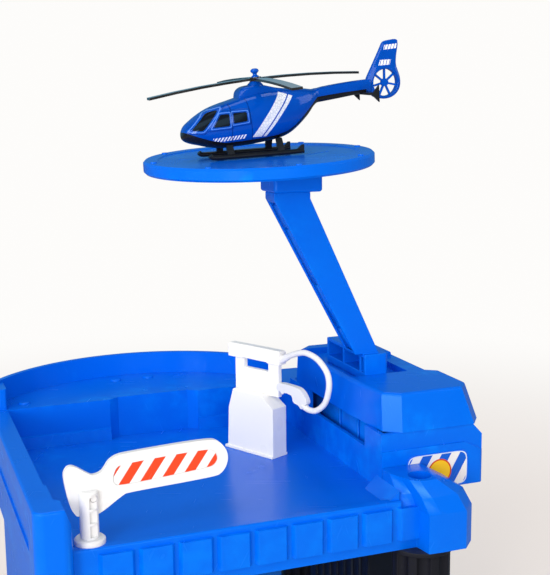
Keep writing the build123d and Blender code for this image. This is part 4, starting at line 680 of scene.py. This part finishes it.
# %% Barrier blade and its sticker
BLADE_EDGE = [(-11.5, 10.5), (-11.0, 14.3), (-8.8, 16.6), (-5.8, 16.2), (1.6, 10.8), (3.4, 10.6), (6.6, 11.4),
              (8.6, 13.7), (10.4, 16.7), (14.0, 18.9), (18.9, 19.7), (61.4, 21.8), (66.5, 19.6), (69.8, 15.4),
              (70.8, 11.0), (69.7, 6.5), (67.0, 3.2), (63.6, 1.9), (19.5, -0.2), (17.2, -0.9), (6.0, -8.6),
              (3.4, -9.1), (-5.2, -9.1), (-6.2, -8.4), (-8.9, -4.0)]
PANEL_EDGE = [(16.7, 14.5), (60.7, 16.8), (64.0, 15.2), (65.8, 11.1), (63.6, 7.9), (59.0, 6.9), (15.0, 3.5),
              (12.6, 5.2), (12.0, 8.0), (13.6, 12.6)]
BLADE_THICKNESS, PANEL_DEPTH = 3.0, 0.6
STICKER_DEPTH, STICKER_SHARE = 0.25, 0.985      # below the blade's face, and of the panel's size

post_x, post_y, post_z = np.array(POST) / MM
blade_outline = cut_corners(BLADE_EDGE) + [post_x, post_z]
sunk = cut_corners(PANEL_EDGE) + [post_x, post_z]
blade_plate = plate(blade_outline, post_y, post_y + BLADE_THICKNESS, sunk, PANEL_DEPTH)
arm = make_mesh("barrier_blade", [blade_plate], toy_white, "barrier")
point_outwards(arm)
round_edges(arm, 0.5 * MM)
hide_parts("barrier_arm")

sticker_outline = STICKER_SHARE * (sunk - sunk.mean(0)) + sunk.mean(0)
sticker_plate = plate(sticker_outline, post_y + STICKER_DEPTH, post_y + PANEL_DEPTH)
sticker = make_mesh("barrier_sticker", [sticker_plate], barrier_print, "barrier")
point_outwards(sticker)
round_edges(sticker, 0.06 * MM)
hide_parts("barrier_stripe_label")

# %% [markdown]
# ## The pump's hose and nozzle
# The hose is one rigid moulding with its nozzle: a round tube bent in a loop from the pump's head
# round to the nozzle's grip. A bevelled curve could make it, but a tube worked out here follows
# the pattern of the other pieces and easily gets thicker where it is plugged in. A tube is a
# circle carried along a path: at each point the circle lies across the path's direction.

# %% Hose and nozzle
PUMP_PLACE = np.array([9.8, 19.8, 125.0])
PUMP_TURN, PUMP_MIDDLE = math.radians(-63.4), 6.0      # turn about Z, and half the pump's depth
HOSE_PATH = [(36.5, 58.6), (42.0, 60.6), (48.5, 64.0), (55.4, 66.6), (61.6, 67.4), (69.8, 64.9), (76.2, 59.0),
             (78.2, 53.0), (77.5, 46.3), (74.7, 39.4), (68.5, 34.4), (62.5, 33.9), (58.4, 36.0)]
HOSE_RINGS = 90
HOSE_SHARES = [0.0, 0.10, 0.16, 0.93, 0.96, 1.0]       # of the way along the path
HOSE_RADII = [2.3, 2.3, 1.75, 1.75, 2.1, 2.1]
NOZZLE_EDGE = [
    (38.9, 45.4), (41.0, 46.8), (52.0, 46.3), (57.6, 45.6), (61.6, 41.3), (62.7, 37.6), (61.3, 36.6),
    (58.3, 33.0), (56.4, 35.7), (51.8, 36.4), (51.3, 40.5), (48.0, 41.1), (45.5, 41.6), (43.6, 39.8),
    (42.6, 40.4), (41.7, 41.6), (38.9, 41.9)]
NOZZLE_HALF = 1.8


def tube_round(path, radius, columns=24):
    """Rings across a path in the plane y = 0: centre + r (cos a * sideways + sin a * Y)."""
    ahead = np.gradient(path, axis=0)
    ahead /= np.linalg.norm(ahead, axis=1)[:, None]
    sideways = np.stack([-ahead[:, 1], np.zeros(len(path)), ahead[:, 0]], axis=1)
    a = np.linspace(0, 2 * np.pi, columns, endpoint=False)[None, :, None]
    ring = np.cos(a) * sideways[:, None] + np.sin(a) * np.array([0.0, 1.0, 0.0])
    return stand_up(path, 0.0)[:, None] + np.asarray(radius)[:, None, None] * ring


def on_pump(points):
    """Turns points from the pump's own width, depth and height into the garage's directions."""
    p = points.reshape(-1, 3) + [0.0, PUMP_MIDDLE, 0.0]
    c, s = math.cos(PUMP_TURN), math.sin(PUMP_TURN)
    return np.stack([c * p[:, 0] - s * p[:, 1], s * p[:, 0] + c * p[:, 1], p[:, 2]], axis=1) + PUMP_PLACE


hose_radius = np.interp(np.linspace(0, 1, HOSE_RINGS), HOSE_SHARES, HOSE_RADII)
tube = tube_round(smooth_rows(HOSE_PATH, HOSE_RINGS), hose_radius)
nozzle, nozzle_faces = plate(cut_corners(NOZZLE_EDGE, 2), -NOZZLE_HALF, NOZZLE_HALF)
hose = make_mesh("pump_hose_loop", [(on_pump(tube), closed_tube(tube)), (on_pump(nozzle), nozzle_faces)],
                 toy_white, "pump")
point_outwards(hose)
round_edges(hose, 0.5 * MM, 40.0)
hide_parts("pump_hose")

# %% [markdown]
# ## Inner wall of the arm
# The leaning arm is open on its left side, with long ribs in it. A thin blue wall a little inside
# closes what the camera sees into. It is four strips rather than one, because notches part them
# where the ribs end, and each strip goes deeper at its top.

# %% Arm's inner wall
ARM_LEFT, ARM_LEAN = 71.2, 49.7 / 92.5                     # x of the left side at its foot, and its lean
ARM_LOW, ARM_HIGH = 189.9, 282.4                           # heights of foot and neck
ARM_NEAR, ARM_FAR, ARM_WALL = -35.75, -25.55, 1.2          # y of its two edges, and thickness
STRIP_ENDS, NOTCH = (0.03, 0.17, 0.46, 0.82, 0.97), 0.3    # shares of the height, and gap
STRIP_SHOULDER = 1.5                                       # height of the deeper top


def arm_strip(low, high):
    """A wall from low to high inside the leaning side, deeper at its top: three rings of four corners."""
    rows = []
    for z, deep in ((low, 0.7), (high - STRIP_SHOULDER, 1.0), (high, 2.6)):
        x0 = ARM_LEFT - ARM_LEAN * (z - ARM_LOW) + deep
        x1 = x0 + ARM_WALL
        rows.append([(x0, ARM_NEAR, z), (x0, ARM_FAR, z), (x1, ARM_FAR, z), (x1, ARM_NEAR, z)])
    return np.array(rows)


levels = [ARM_LOW + share * (ARM_HIGH - ARM_LOW) for share in STRIP_ENDS]
strips = [arm_strip(low + NOTCH, high) for low, high in zip(levels, levels[1:])]
arm_wall = make_mesh("arm_inner_wall", [(s, closed_tube(s)) for s in strips], garage_blue, "garage")
point_outwards(arm_wall)

# %% [markdown]
# ## Panels on the deck's front
# The deck's front face carries a row of eight raised panels with slanted ends. A panel is one
# outline seen from above, drawn at its foot and at its top, and the loop only moves it along.

# %% Deck's front panels
DECK_FRONT, PANEL_RAISED, SUNK_IN = -111.0, 2.3, 0.3
PANELS, PANEL_PITCH, FIRST_PANEL = 8, 19.8, -97.6
PANEL_SPAN, PANEL_SLANT = 18.0, 1.7
PANEL_HEIGHTS = (105.7, 123.7)


def front_panel(x0):
    """A raised panel from x0 to the right: six corners seen from above, at its foot and at its top."""
    x1, wall, face = x0 + PANEL_SPAN, DECK_FRONT + SUNK_IN, DECK_FRONT - PANEL_RAISED
    ring = [(x0, wall), (x0, DECK_FRONT), (x0 + PANEL_SLANT, face), (x1 - PANEL_SLANT, face),
            (x1, DECK_FRONT), (x1, wall)]
    return np.array([[(x, y, z) for x, y in ring] for z in PANEL_HEIGHTS])


pads = [front_panel(FIRST_PANEL + k * PANEL_PITCH) for k in range(PANELS)]
panels = make_mesh("deck_front_panels", [(p, closed_tube(p)) for p in pads], garage_blue, "garage")
point_outwards(panels)
round_edges(panels, 0.5 * MM)

# %% [markdown]
# ## Inner wall of the tower
# Behind the tower's slit window stands a thin blue wall with three upright ribs. Wall and ribs are
# plain blocks that overlap a little, which is simpler than one outline and looks the same.

# %% Tower's inner wall
WALL_X, WALL_Y, WALL_Z = (71.0, 71.9), (-85.5, 46.5), (124.5, 156.3)
RIB_X, RIB_HALF, RIB_PLACES = (69.6, 71.1), 0.6, (-70.0, -44.0, -18.0)


def upright(x0, x1, y0, y1):
    """A plain block of the wall's height as two rings of four corners."""
    return np.array([[(x0, y0, z), (x1, y0, z), (x1, y1, z), (x0, y1, z)] for z in WALL_Z])


blocks = [upright(*WALL_X, *WALL_Y)] + [upright(*RIB_X, y - RIB_HALF, y + RIB_HALF) for y in RIB_PLACES]
window_wall = make_mesh("tower_inner_wall", [(b, closed_tube(b)) for b in blocks], garage_blue, "garage")
point_outwards(window_wall)

# %% [markdown]
# ## The helicopter's place
# The helicopter stands on the pad, and the pad leans a little on two axes. Everything on it is
# worked out in its own frame, nose towards -X and up along Z, and turned into place at the end,
# because a level helicopter is far easier to draw.

# %% The helicopter's frame
HELI_PLACE = np.array([16.2157, -28.3348, 307.0008])
heli_turn = Matrix.Rotation(math.radians(2.9), 3, "X") @ Matrix.Rotation(math.radians(-3.0), 3, "Y")
heli_axes = np.array(heli_turn)


def on_pad(points):
    """Points of the helicopter's own frame, turned and moved onto the pad."""
    return points.reshape(-1, 3) @ heli_axes.T + HELI_PLACE


print("helicopter at", HELI_PLACE)

# %% [markdown]
# ## Fuselage, cowl and mast
# Body and tail boom are one smooth skin, with the engine's cowl on top. A few cross sections say
# how high, how wide and how square each is along its length. A cubic curve fills in between, and
# each section is a superellipse, which is a circle at power 2 and tends to a box as the power
# grows. The mast is a profile turned about an upright axis.

# %% Fuselage, cowl and mast
HELI_ROWS = [  # x, bottom, top, half width, power
    (-43.9, 13.0, 14.2, 0.5, 2.0), (-43.5, 11.4, 16.2, 3.6, 2.0), (-42.0, 10.1, 18.8, 6.2, 2.1),
    (-39.0, 8.9, 21.2, 8.3, 2.2), (-35.0, 7.9, 23.9, 10.0, 2.3), (-29.5, 6.5, 26.9, 11.6, 2.4),
    (-23.0, 5.6, 29.2, 12.6, 2.6), (-15.0, 5.9, 31.3, 13.1, 2.7), (-7.0, 6.4, 33.4, 13.3, 2.7),
    (1.0, 7.3, 34.8, 13.3, 2.7), (9.0, 8.4, 35.5, 13.0, 2.6), (16.0, 10.4, 35.7, 12.2, 2.5),
    (22.0, 14.3, 35.4, 10.8, 2.5), (28.0, 19.6, 35.0, 8.6, 2.4), (32.5, 24.6, 34.4, 6.0, 2.3),
    (35.0, 26.5, 34.7, 4.2, 2.8), (36.5, 26.9, 34.8, 3.8, 3.2), (40.0, 27.3, 35.5, 3.6, 3.4),
    (50.0, 28.5, 36.7, 3.2, 3.4), (60.0, 29.8, 37.6, 2.8, 3.4), (69.0, 31.0, 38.1, 2.4, 3.4)]
COWL_ROWS = [  # x, bottom, top, half width, power
    (-11.8, 30.0, 32.0, 4.6, 4.0), (-11.5, 30.0, 34.0, 5.2, 4.0), (-11.0, 30.0, 35.6, 5.4, 4.5),
    (-9.6, 30.0, 37.0, 5.6, 5.0), (-7.4, 30.0, 37.9, 5.7, 5.0), (-3.0, 30.0, 38.5, 5.8, 5.0),
    (2.0, 30.0, 38.5, 5.8, 5.0), (6.5, 30.0, 37.5, 5.9, 4.5), (11.0, 30.0, 36.5, 5.7, 4.0),
    (18.5, 30.0, 35.4, 4.6, 3.0)]
MAST_PROFILE = [  # radius, height
    (5.2, 36.5), (4.6, 38.2), (3.6, 39.4), (2.7, 40.4), (2.3, 41.2), (2.0, 41.4)]
MAST_X = -0.4


def signed_power(wave, power):
    """|wave| ^ power with the sign of wave."""
    return np.sign(wave) * np.abs(wave) ** power


def superellipse_rings(rows, columns=72):
    """Rings across X: y = w |cos a|^(2/n), z = middle + h |sin a|^(2/n), each with its sign."""
    x, low, high, half, power = [c[:, None] for c in rows.T]
    a = np.linspace(0, 2 * np.pi, columns, endpoint=False)[None, :] + 0.5 * np.pi / columns
    y = half * signed_power(np.cos(a), 2 / power)
    z = 0.5 * (low + high) + 0.5 * (high - low) * signed_power(np.sin(a), 2 / power)
    return np.stack([np.broadcast_to(x, y.shape), y, z], axis=-1)


def turned(profile, centre_x, columns=40):
    """Rings about an upright axis: x = centre + r cos a, y = r sin a, for each radius and height."""
    r, z = np.asarray(profile, float).T
    a = np.linspace(0, 2 * np.pi, columns, endpoint=False)
    return np.stack([centre_x + r[:, None] * np.cos(a), r[:, None] * np.sin(a),
                     np.broadcast_to(z[:, None], (len(r), columns))], axis=-1)


skin_rings = superellipse_rings(smooth_rows(HELI_ROWS, 150))
cowl_rings = superellipse_rings(smooth_rows(COWL_ROWS, 60), 64)
mast_rings = turned(smooth_rows(MAST_PROFILE, 16), MAST_X)
print("fuselage", skin_rings.shape, "cowl", cowl_rings.shape, "mast", mast_rings.shape)

# %% [markdown]
# ## Fin and fan ring
# The fin grows out of the ring round the tail fan. A Boolean would leave long thin triangles round
# the hole. Instead the outline is walked by angle round the fan's centre, so every outline point
# has a partner on the round opening, and a rounded section between the two makes one closed skin.

# %% Fin
FAN_PLACE, FAN_OPENING = np.array([78.2, 35.6]), 7.5
RING_THICKNESS, FIN_THICKNESS, THINS_OVER = 2.3, 1.3, 4.0      # half thicknesses, and the way between
FIN_EDGE = [(66.5, 38.2), (67.7, 40.3), (71.6, 47.5), (76.0, 55.9), (76.9, 58.0), (78.4, 58.9), (81.3, 59.3),
            (85.2, 59.7), (86.8, 59.2), (86.9, 57.0), (85.6, 50.5), (85.3, 45.8), (86.3, 42.5), (87.7, 38.5),
            (88.0, 34.0), (86.6, 30.3), (83.2, 27.4), (78.4, 26.2), (73.4, 26.9), (69.8, 28.4), (68.0, 31.4),
            (66.5, 33.6)]


def around(outline_xz, centre, count):
    """The outline read at even angles round a centre, by linear interpolation of its radius."""
    rel = outline_xz - centre
    angle, r = np.arctan2(rel[:, 1], rel[:, 0]), np.hypot(rel[:, 0], rel[:, 1])
    order = np.argsort(angle)
    a = np.linspace(-np.pi, np.pi, count, endpoint=False)
    return a, np.interp(a, angle[order], r[order], period=2 * np.pi)


def ring_with_hole(outline_xz, centre, hole, count=180, columns=28):
    """Sections between hole and outline: reach = middle + half |cos b|^0.5, y = thickness |sin b|^0.4."""
    a, far = around(outline_xz, centre, count)
    b = np.linspace(0, 2 * np.pi, columns, endpoint=False)[None, :]
    reach = 0.5 * (far + hole)[:, None] + 0.5 * (far - hole)[:, None] * signed_power(np.cos(b), 0.5)
    beyond = np.clip((reach - hole) / THINS_OVER, 0.0, 1.0)
    thickness = RING_THICKNESS + (FIN_THICKNESS - RING_THICKNESS) * beyond
    x = centre[0] + reach * np.cos(a)[:, None]
    z = centre[1] + reach * np.sin(a)[:, None]
    return np.stack([x, thickness * signed_power(np.sin(b), 0.4), z], axis=-1)


fin_rings = ring_with_hole(cut_corners(FIN_EDGE, 2), FAN_PLACE, FAN_OPENING)
sections, columns = fin_rings.shape[:2]
fin_faces = np.array(grid_faces(sections + 1, columns, True)) % (sections * columns)      # its ends join
print("fin rings", fin_rings.shape)

# %% [markdown]
# ## Paint on the helicopter
# The real one is glossy blue with a black belly. The line between them dips under the cabin and
# climbs to the boom. Two materials would need a cut along it, so one paint is drawn from the
# position in the helicopter's own frame, which also makes both sides match. A Float Curve gives
# the height of the line at every place along the body.

# %% Helicopter paint
BELLY_LINE = [(-48.0, 15.8), (-43.0, 15.4), (-40.0, 14.3), (-36.6, 12.9), (-30.0, 10.7), (-22.3, 9.1),
              (-12.5, 9.5), (-0.5, 10.3), (7.5, 11.3), (14.0, 13.0), (19.5, 16.6), (25.0, 21.6), (31.0, 27.2),
              (34.5, 30.0), (40.0, 30.6), (50.0, 31.5), (66.0, 32.6), (67.0, 2.0), (92.0, 2.0)]
LINE_START = BELLY_LINE[0][0]
LINE_LENGTH, LINE_HEIGHT = 140.0, 50.0      # what the curve's unit square stands for

heli_paint = moulded_plastic("helicopter paint", (0.0, 0.062, 0.42), (0.0, 0.15, 0.75), 0.15, BLUE_TINT,
                             grain=0.01, wave=0.05, coat=0.3, dusty=0.02, soil=(0.02, 0.2, 0.6), level=0.15)
tree, shader, base = paint_of(heli_paint)
place = flat_place(tree, tuple(HELI_PLACE * MM), tuple(heli_turn.to_euler("XYZ")))
split = add(tree, "SeparateXYZ", {0: place}).outputs
beside = calc(tree, "ABSOLUTE", split[1])
along_line = calc(tree, "MULTIPLY_ADD", split[0], 1 / LINE_LENGTH, -LINE_START / LINE_LENGTH)
curve = add(tree, "FloatCurve", {"Value": along_line})
points = curve.mapping.curves[0].points
while len(points) < len(BELLY_LINE):
    points.new(0.5, 0.5)
for point, (x, z) in zip(points, BELLY_LINE):
    point.location = ((x - LINE_START) / LINE_LENGTH, z / LINE_HEIGHT)
    point.handle_type = "VECTOR"
curve.mapping.update()
below = calc(tree, "SUBTRACT", calc(tree, "MULTIPLY", curve.outputs[0], LINE_HEIGHT), split[2])
under = smooth_step(tree, below, -0.06, 0.06)
print("belly line of", len(points), "points")

# %% [markdown]
# ## Panes, band and hatches
# Dark panes sit in raised frames, a broad white band leans across the side, and small hatched
# marks are printed on nose and fin. All are panels drawn with the helpers from above, laid over
# the paint one after the other. The frames are also painted a lighter blue, a painted highlight, and the
# door's grooves a darker blue, a painted shade. Only the frames and the door's grooves have height, and they
# are so shallow that a Bump does for them. The panes are left without lacquer, so they stay dark.

# %% Panes, band and hatches
SCREEN, SCREEN_HALF = [(-40.3, 16.6), (-34.3, 16.1), (-25.0, 27.0), (-31.4, 25.4)], 2.6
FRONT_PANE = [(-29.0, 17.6), (-20.1, 18.1), (-20.0, 24.5), (-24.8, 24.3)]
REAR_PANE = [(-17.8, 19.3), (-10.1, 20.1), (-10.4, 25.0), (-17.8, 24.8)]
BAND = [(-7.4, 11.2), (0.8, 11.2), (17.5, 32.0), (10.1, 34.4)]
BAND_GAP = [(-2.0, 11.0), (-1.1, 11.0), (15.6, 33.0), (14.7, 33.0)]
HATCH = [(-28.9, 9.6), (-11.4, 10.9), (-10.8, 13.1), (-29.3, 11.8)]
HATCH_STRIPES = {"Lean": 0.55, "Start": 0.0, "Period": 1.72, "Width": 0.95}
FIN_MARKS = [[(77.4, 53.9), (85.3, 54.5), (85.9, 57.1), (78.0, 56.5)],
             [(74.0, 45.2), (81.1, 45.5), (82.0, 48.4), (75.2, 48.3)]]
FIN_STRIPES = {"Lean": 0.35, "Start": 0.3, "Period": 1.9, "Width": 1.45}
FRONT_DOOR_X, REAR_DOOR_X, REAR_DOOR_LEAN, GROOVE = -18.9, -5.9, 0.11, 0.45
LACQUER = 0.45
BAND_WHITE, BAND_CRACKS, MARK_WHITE = (0.78, 0.80, 0.86), (0.55, 0.60, 0.72), (0.86, 0.88, 0.92)
FRAME_HIGHLIGHT_BLUE, GROOVE_SHADE_BLUE = (0.14, 0.34, 0.92), (0.0, 0.025, 0.22)
PANE_BLACK, BELLY_BLACK = (0.006, 0.007, 0.010), (0.008, 0.008, 0.010)

windscreen = panel_field(tree, place, SCREEN, 1.6)
screen = calc(tree, "MINIMUM", windscreen, calc(tree, "SUBTRACT", beside, SCREEN_HALF))
side_panes = [panel_field(tree, place, FRONT_PANE, 1.2), panel_field(tree, place, REAR_PANE, 1.0)]
glass = calc(tree, "MAXIMUM", screen, calc(tree, "MAXIMUM", *side_panes))
lacquer = calc(tree, "MULTIPLY", smooth_step(tree, glass, 0.05, -0.05), LACQUER)

full_band, gap = [filled(tree, panel_field(tree, place, corners, 0.1)) for corners in (BAND, BAND_GAP)]
band = calc(tree, "MAXIMUM", calc(tree, "SUBTRACT", full_band, gap), 0.0)
cells = add(tree, "TexVoronoi", {"Vector": place, "Scale": 0.75}, feature="DISTANCE_TO_EDGE").outputs
cracked = blend_colour(tree, smooth_step(tree, cells["Distance"], 0.05, 0.12), BAND_CRACKS, BAND_WHITE)

marks = filled(tree, panel_field(tree, place, HATCH, 0.2))
slashes = use_group(tree, stripes, Place=place, **HATCH_STRIPES)["Mask"]
fin_marks = [filled(tree, panel_field(tree, place, corners, 0.1)) for corners in FIN_MARKS]
fin_slashes = use_group(tree, stripes, Place=place, **FIN_STRIPES)["Mask"]
white = calc(tree, "MAXIMUM", calc(tree, "MULTIPLY", marks, slashes),
             calc(tree, "MULTIPLY", calc(tree, "MAXIMUM", *fin_marks), fin_slashes))

# painted highlight: a lighter blue line round the panes
frame_highlight_lines = outline(tree, glass, -0.8, 0.35)
front_door = calc(tree, "SUBTRACT", split[0], FRONT_DOOR_X)
rear_door = calc(tree, "SUBTRACT", split[0], REAR_DOOR_X)
rear_door = calc(tree, "MULTIPLY_ADD", split[2], REAR_DOOR_LEAN, rear_door)
door_lines = calc(tree, "MAXIMUM", *[outline(tree, door, 0.0, GROOVE) for door in (front_door, rear_door)])
on_door = calc(tree, "MULTIPLY", door_lines, smooth_step(tree, beside, 6.0, 7.0))

# painted light: the frame layer is a painted highlight and the door groove layer a painted shade
layers = [(band, cracked), (white, MARK_WHITE), (calc(tree, "MULTIPLY", frame_highlight_lines, 0.6), FRAME_HIGHLIGHT_BLUE),
          (calc(tree, "MULTIPLY", on_door, 0.8), GROOVE_SHADE_BLUE), (filled(tree, glass), PANE_BLACK),
          (under, BELLY_BLACK)]
colour = base
for mask, ink in layers:
    colour = blend_colour(tree, mask, colour, ink)
raised = smooth_step(tree, calc(tree, "ABSOLUTE", calc(tree, "ADD", glass, 1.0)), 1.1, 0.4)
relief = add(tree, "Bump", {"Height": calc(tree, "SUBTRACT", raised, on_door), "Strength": 0.9,
                            "Distance": 0.0006, "Normal": shader.inputs["Normal"].links[0].from_socket})
link(tree, (colour, shader.inputs["Base Color"]), (lacquer, shader.inputs["Coat Weight"]),
     (relief.outputs["Normal"], shader.inputs["Normal"]))
print("paint nodes:", len(tree.nodes))

# %% [markdown]
# ## The helicopter's body
# Skin, cowl, mast and fin are four closed shells that pass through each other. One object holds
# them, since one paint covers them all, and a Boolean would change nothing that can be seen.

# %% Put the helicopter together
heli_shells = [(on_pad(rings), closed_tube(rings)) for rings in (skin_rings, cowl_rings, mast_rings)]
heli_shells.append((on_pad(fin_rings), fin_faces.tolist()))
body = make_mesh("heli_body", heli_shells, heli_paint, "helicopter")
point_outwards(body)
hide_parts("heli_shell", "heli_belly", "heli_windows")

# %% [markdown]
# ## The rotor's knob
# On top of the rotor sits a small ball on a narrow neck. It is one turned profile about the
# rotor's axis, which leans forward a little with the rotor, so the knob is leant by the same
# angle about the hub and rides the rotor.

# %% Rotor knob
ROTOR_LEAN, HUB = math.radians(-3.7), np.array([0.0, 0.0, 40.6])
KNOB_PROFILE = [(2.1, 42.7), (2.0, 43.2), (1.25, 43.7), (1.2, 44.5), (1.7, 45.0), (2.2, 45.6), (2.3, 46.1),
                (2.0, 46.7), (1.2, 47.2), (0.3, 47.3)]      # radius, height
knob_rings = turned(smooth_rows(KNOB_PROFILE, 40), 0.0)
leant = (knob_rings.reshape(-1, 3) - HUB) @ np.array(Matrix.Rotation(ROTOR_LEAN, 3, "Y")).T + HUB
knob = make_mesh("rotor_knob", [(on_pad(leant), closed_tube(knob_rings))], heli_blue, "rotor")
point_outwards(knob)
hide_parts("rotor_cap")

# %% [markdown]
# ## Skids
# Two black runners carry the helicopter on four short broad legs. A runner is a rounded bar whose
# front lifts a little and whose rear carries a small upright triangle. A leg is two flat straps
# that lean outwards and spread towards the runner.

# %% Skids
RUNNER = [(-31.4, 2.9), (-30.4, 1.9), (-27.5, 1.55), (-15.0, 1.5), (0.0, 1.5), (12.0, 1.5), (22.6, 1.6)]
RUNNER_Y, RUNNER_RADIUS, RUNNER_BROADER, RUNNER_RINGS = 10.6, 1.35, 1.3, 60
HEEL, HEEL_HALF = np.array([(17.6, 1.6), (22.8, 1.6), (22.9, 5.1), (21.8, 5.1)]), 0.8
LEGS, LEG_WIDE, LEG_THIN, LEG_SPREAD = (-19.6, 9.4), 3.4, 1.7, 1.15
LEG_STRAPS = [((0.0, 7.2, 9.4), (0.0, 9.6, 4.4)), ((0.0, 9.5, 4.9), (0.4, 10.6, 1.6))]      # top, foot


def strap(top, foot, leg_x, mirror):
    """A flat bar from top to foot, broader at its foot, as two rings of four corners."""
    rings = []
    for (x, y, z), grow in ((top, 1.0), (foot, LEG_SPREAD)):
        x, y, w, t = x + leg_x, y * mirror, 0.5 * LEG_WIDE * grow, 0.5 * LEG_THIN
        rings.append([(x - w, y - t, z), (x + w, y - t, z), (x + w, y + t, z), (x - w, y + t, z)])
    return np.array(rings)


def runner_rings(y):
    """A round section carried along the runner's path, made a little broader than high."""
    ring = tube_round(smooth_rows(RUNNER, RUNNER_RINGS), np.full(RUNNER_RINGS, RUNNER_RADIUS), 20)
    ring[..., 1] *= RUNNER_BROADER
    return ring + [0.0, y, 0.0]


shells = []
for mirror in (-1, 1):
    runner_y = RUNNER_Y * mirror
    runner = runner_rings(runner_y)
    shells.append((on_pad(runner), closed_tube(runner)))
    heel, heel_faces = plate(HEEL, runner_y - HEEL_HALF, runner_y + HEEL_HALF)
    shells.append((on_pad(heel), heel_faces))
    for leg_x in LEGS:
        for top, foot in LEG_STRAPS:
            leg = strap(top, foot, leg_x, mirror)
            shells.append((on_pad(leg), closed_tube(leg)))
skids = make_mesh("heli_runners", shells, heli_black, "helicopter")
point_outwards(skids)
round_edges(skids, 0.25 * MM, 40.0)
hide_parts("heli_skids")

# %% [markdown]
# ## The floor
# A pale floor carries the shadow. A large plane would show a horizon, so the floor is a disc whose
# colour melts into the background further out. It does so for the camera only, because a glowing
# floor would light the toy from below. Reflections see the floor dark and blue, for the reason
# given with the world.

# %% Floor
FLOOR_RADII, SPOKES = np.array([0.001, 0.3, 0.6, 1.0, 2.0, 6.0]), 64      # metres
FADE_FROM, FADE_TO, FADE_LEAST = 0.25, 1.0, 0.4
FLOOR_PALE, FLOOR_DARK, DARKER = (0.88, 0.78, 0.72), (0.02, 0.10, 0.20), 0.75


def ring_grid(radii, spokes):
    """Points on circles: x = r cos a, y = r sin a, for every radius r and angle a."""
    angle = np.linspace(0, 2 * np.pi, spokes, endpoint=False)
    r, a = np.meshgrid(radii, angle, indexing="ij")
    return np.stack([r * np.cos(a), r * np.sin(a), np.zeros_like(r)], axis=-1)


paper = bpy.data.materials.new("floor paper")
tree = new_tree(paper)
where = add(tree, "SeparateXYZ", {0: add(tree, "TexCoord").outputs["Object"]}).outputs
squares = [calc(tree, "POWER", where[axis], 2.0) for axis in (0, 1)]
far = calc(tree, "SQRT", calc(tree, "ADD", *squares))
fade = calc(tree, "MULTIPLY_ADD", smooth_step(tree, far, FADE_FROM, FADE_TO), 1.0 - FADE_LEAST, FADE_LEAST)
rays = add(tree, "LightPath").outputs
mirrored = calc(tree, "MULTIPLY", rays["Is Glossy Ray"], DARKER)
matt = add(tree, "BsdfDiffuse", {"Color": blend_colour(tree, mirrored, FLOOR_PALE, FLOOR_DARK)})
bright = add(tree, "Emission", {"Color": (*BACKGROUND, 1.0), "Strength": 1.0})
melted = calc(tree, "MULTIPLY", fade, rays["Is Camera Ray"])
blend = add(tree, "MixShader", {0: melted, 1: matt.outputs[0], 2: bright.outputs[0]})
link(tree, (blend.outputs[0], add(tree, "OutputMaterial").inputs["Surface"]))
rings = ring_grid(FLOOR_RADII / MM, SPOKES)
floor = make_mesh("floor", [(rings, closed_tube(rings)[:-1])], paper)
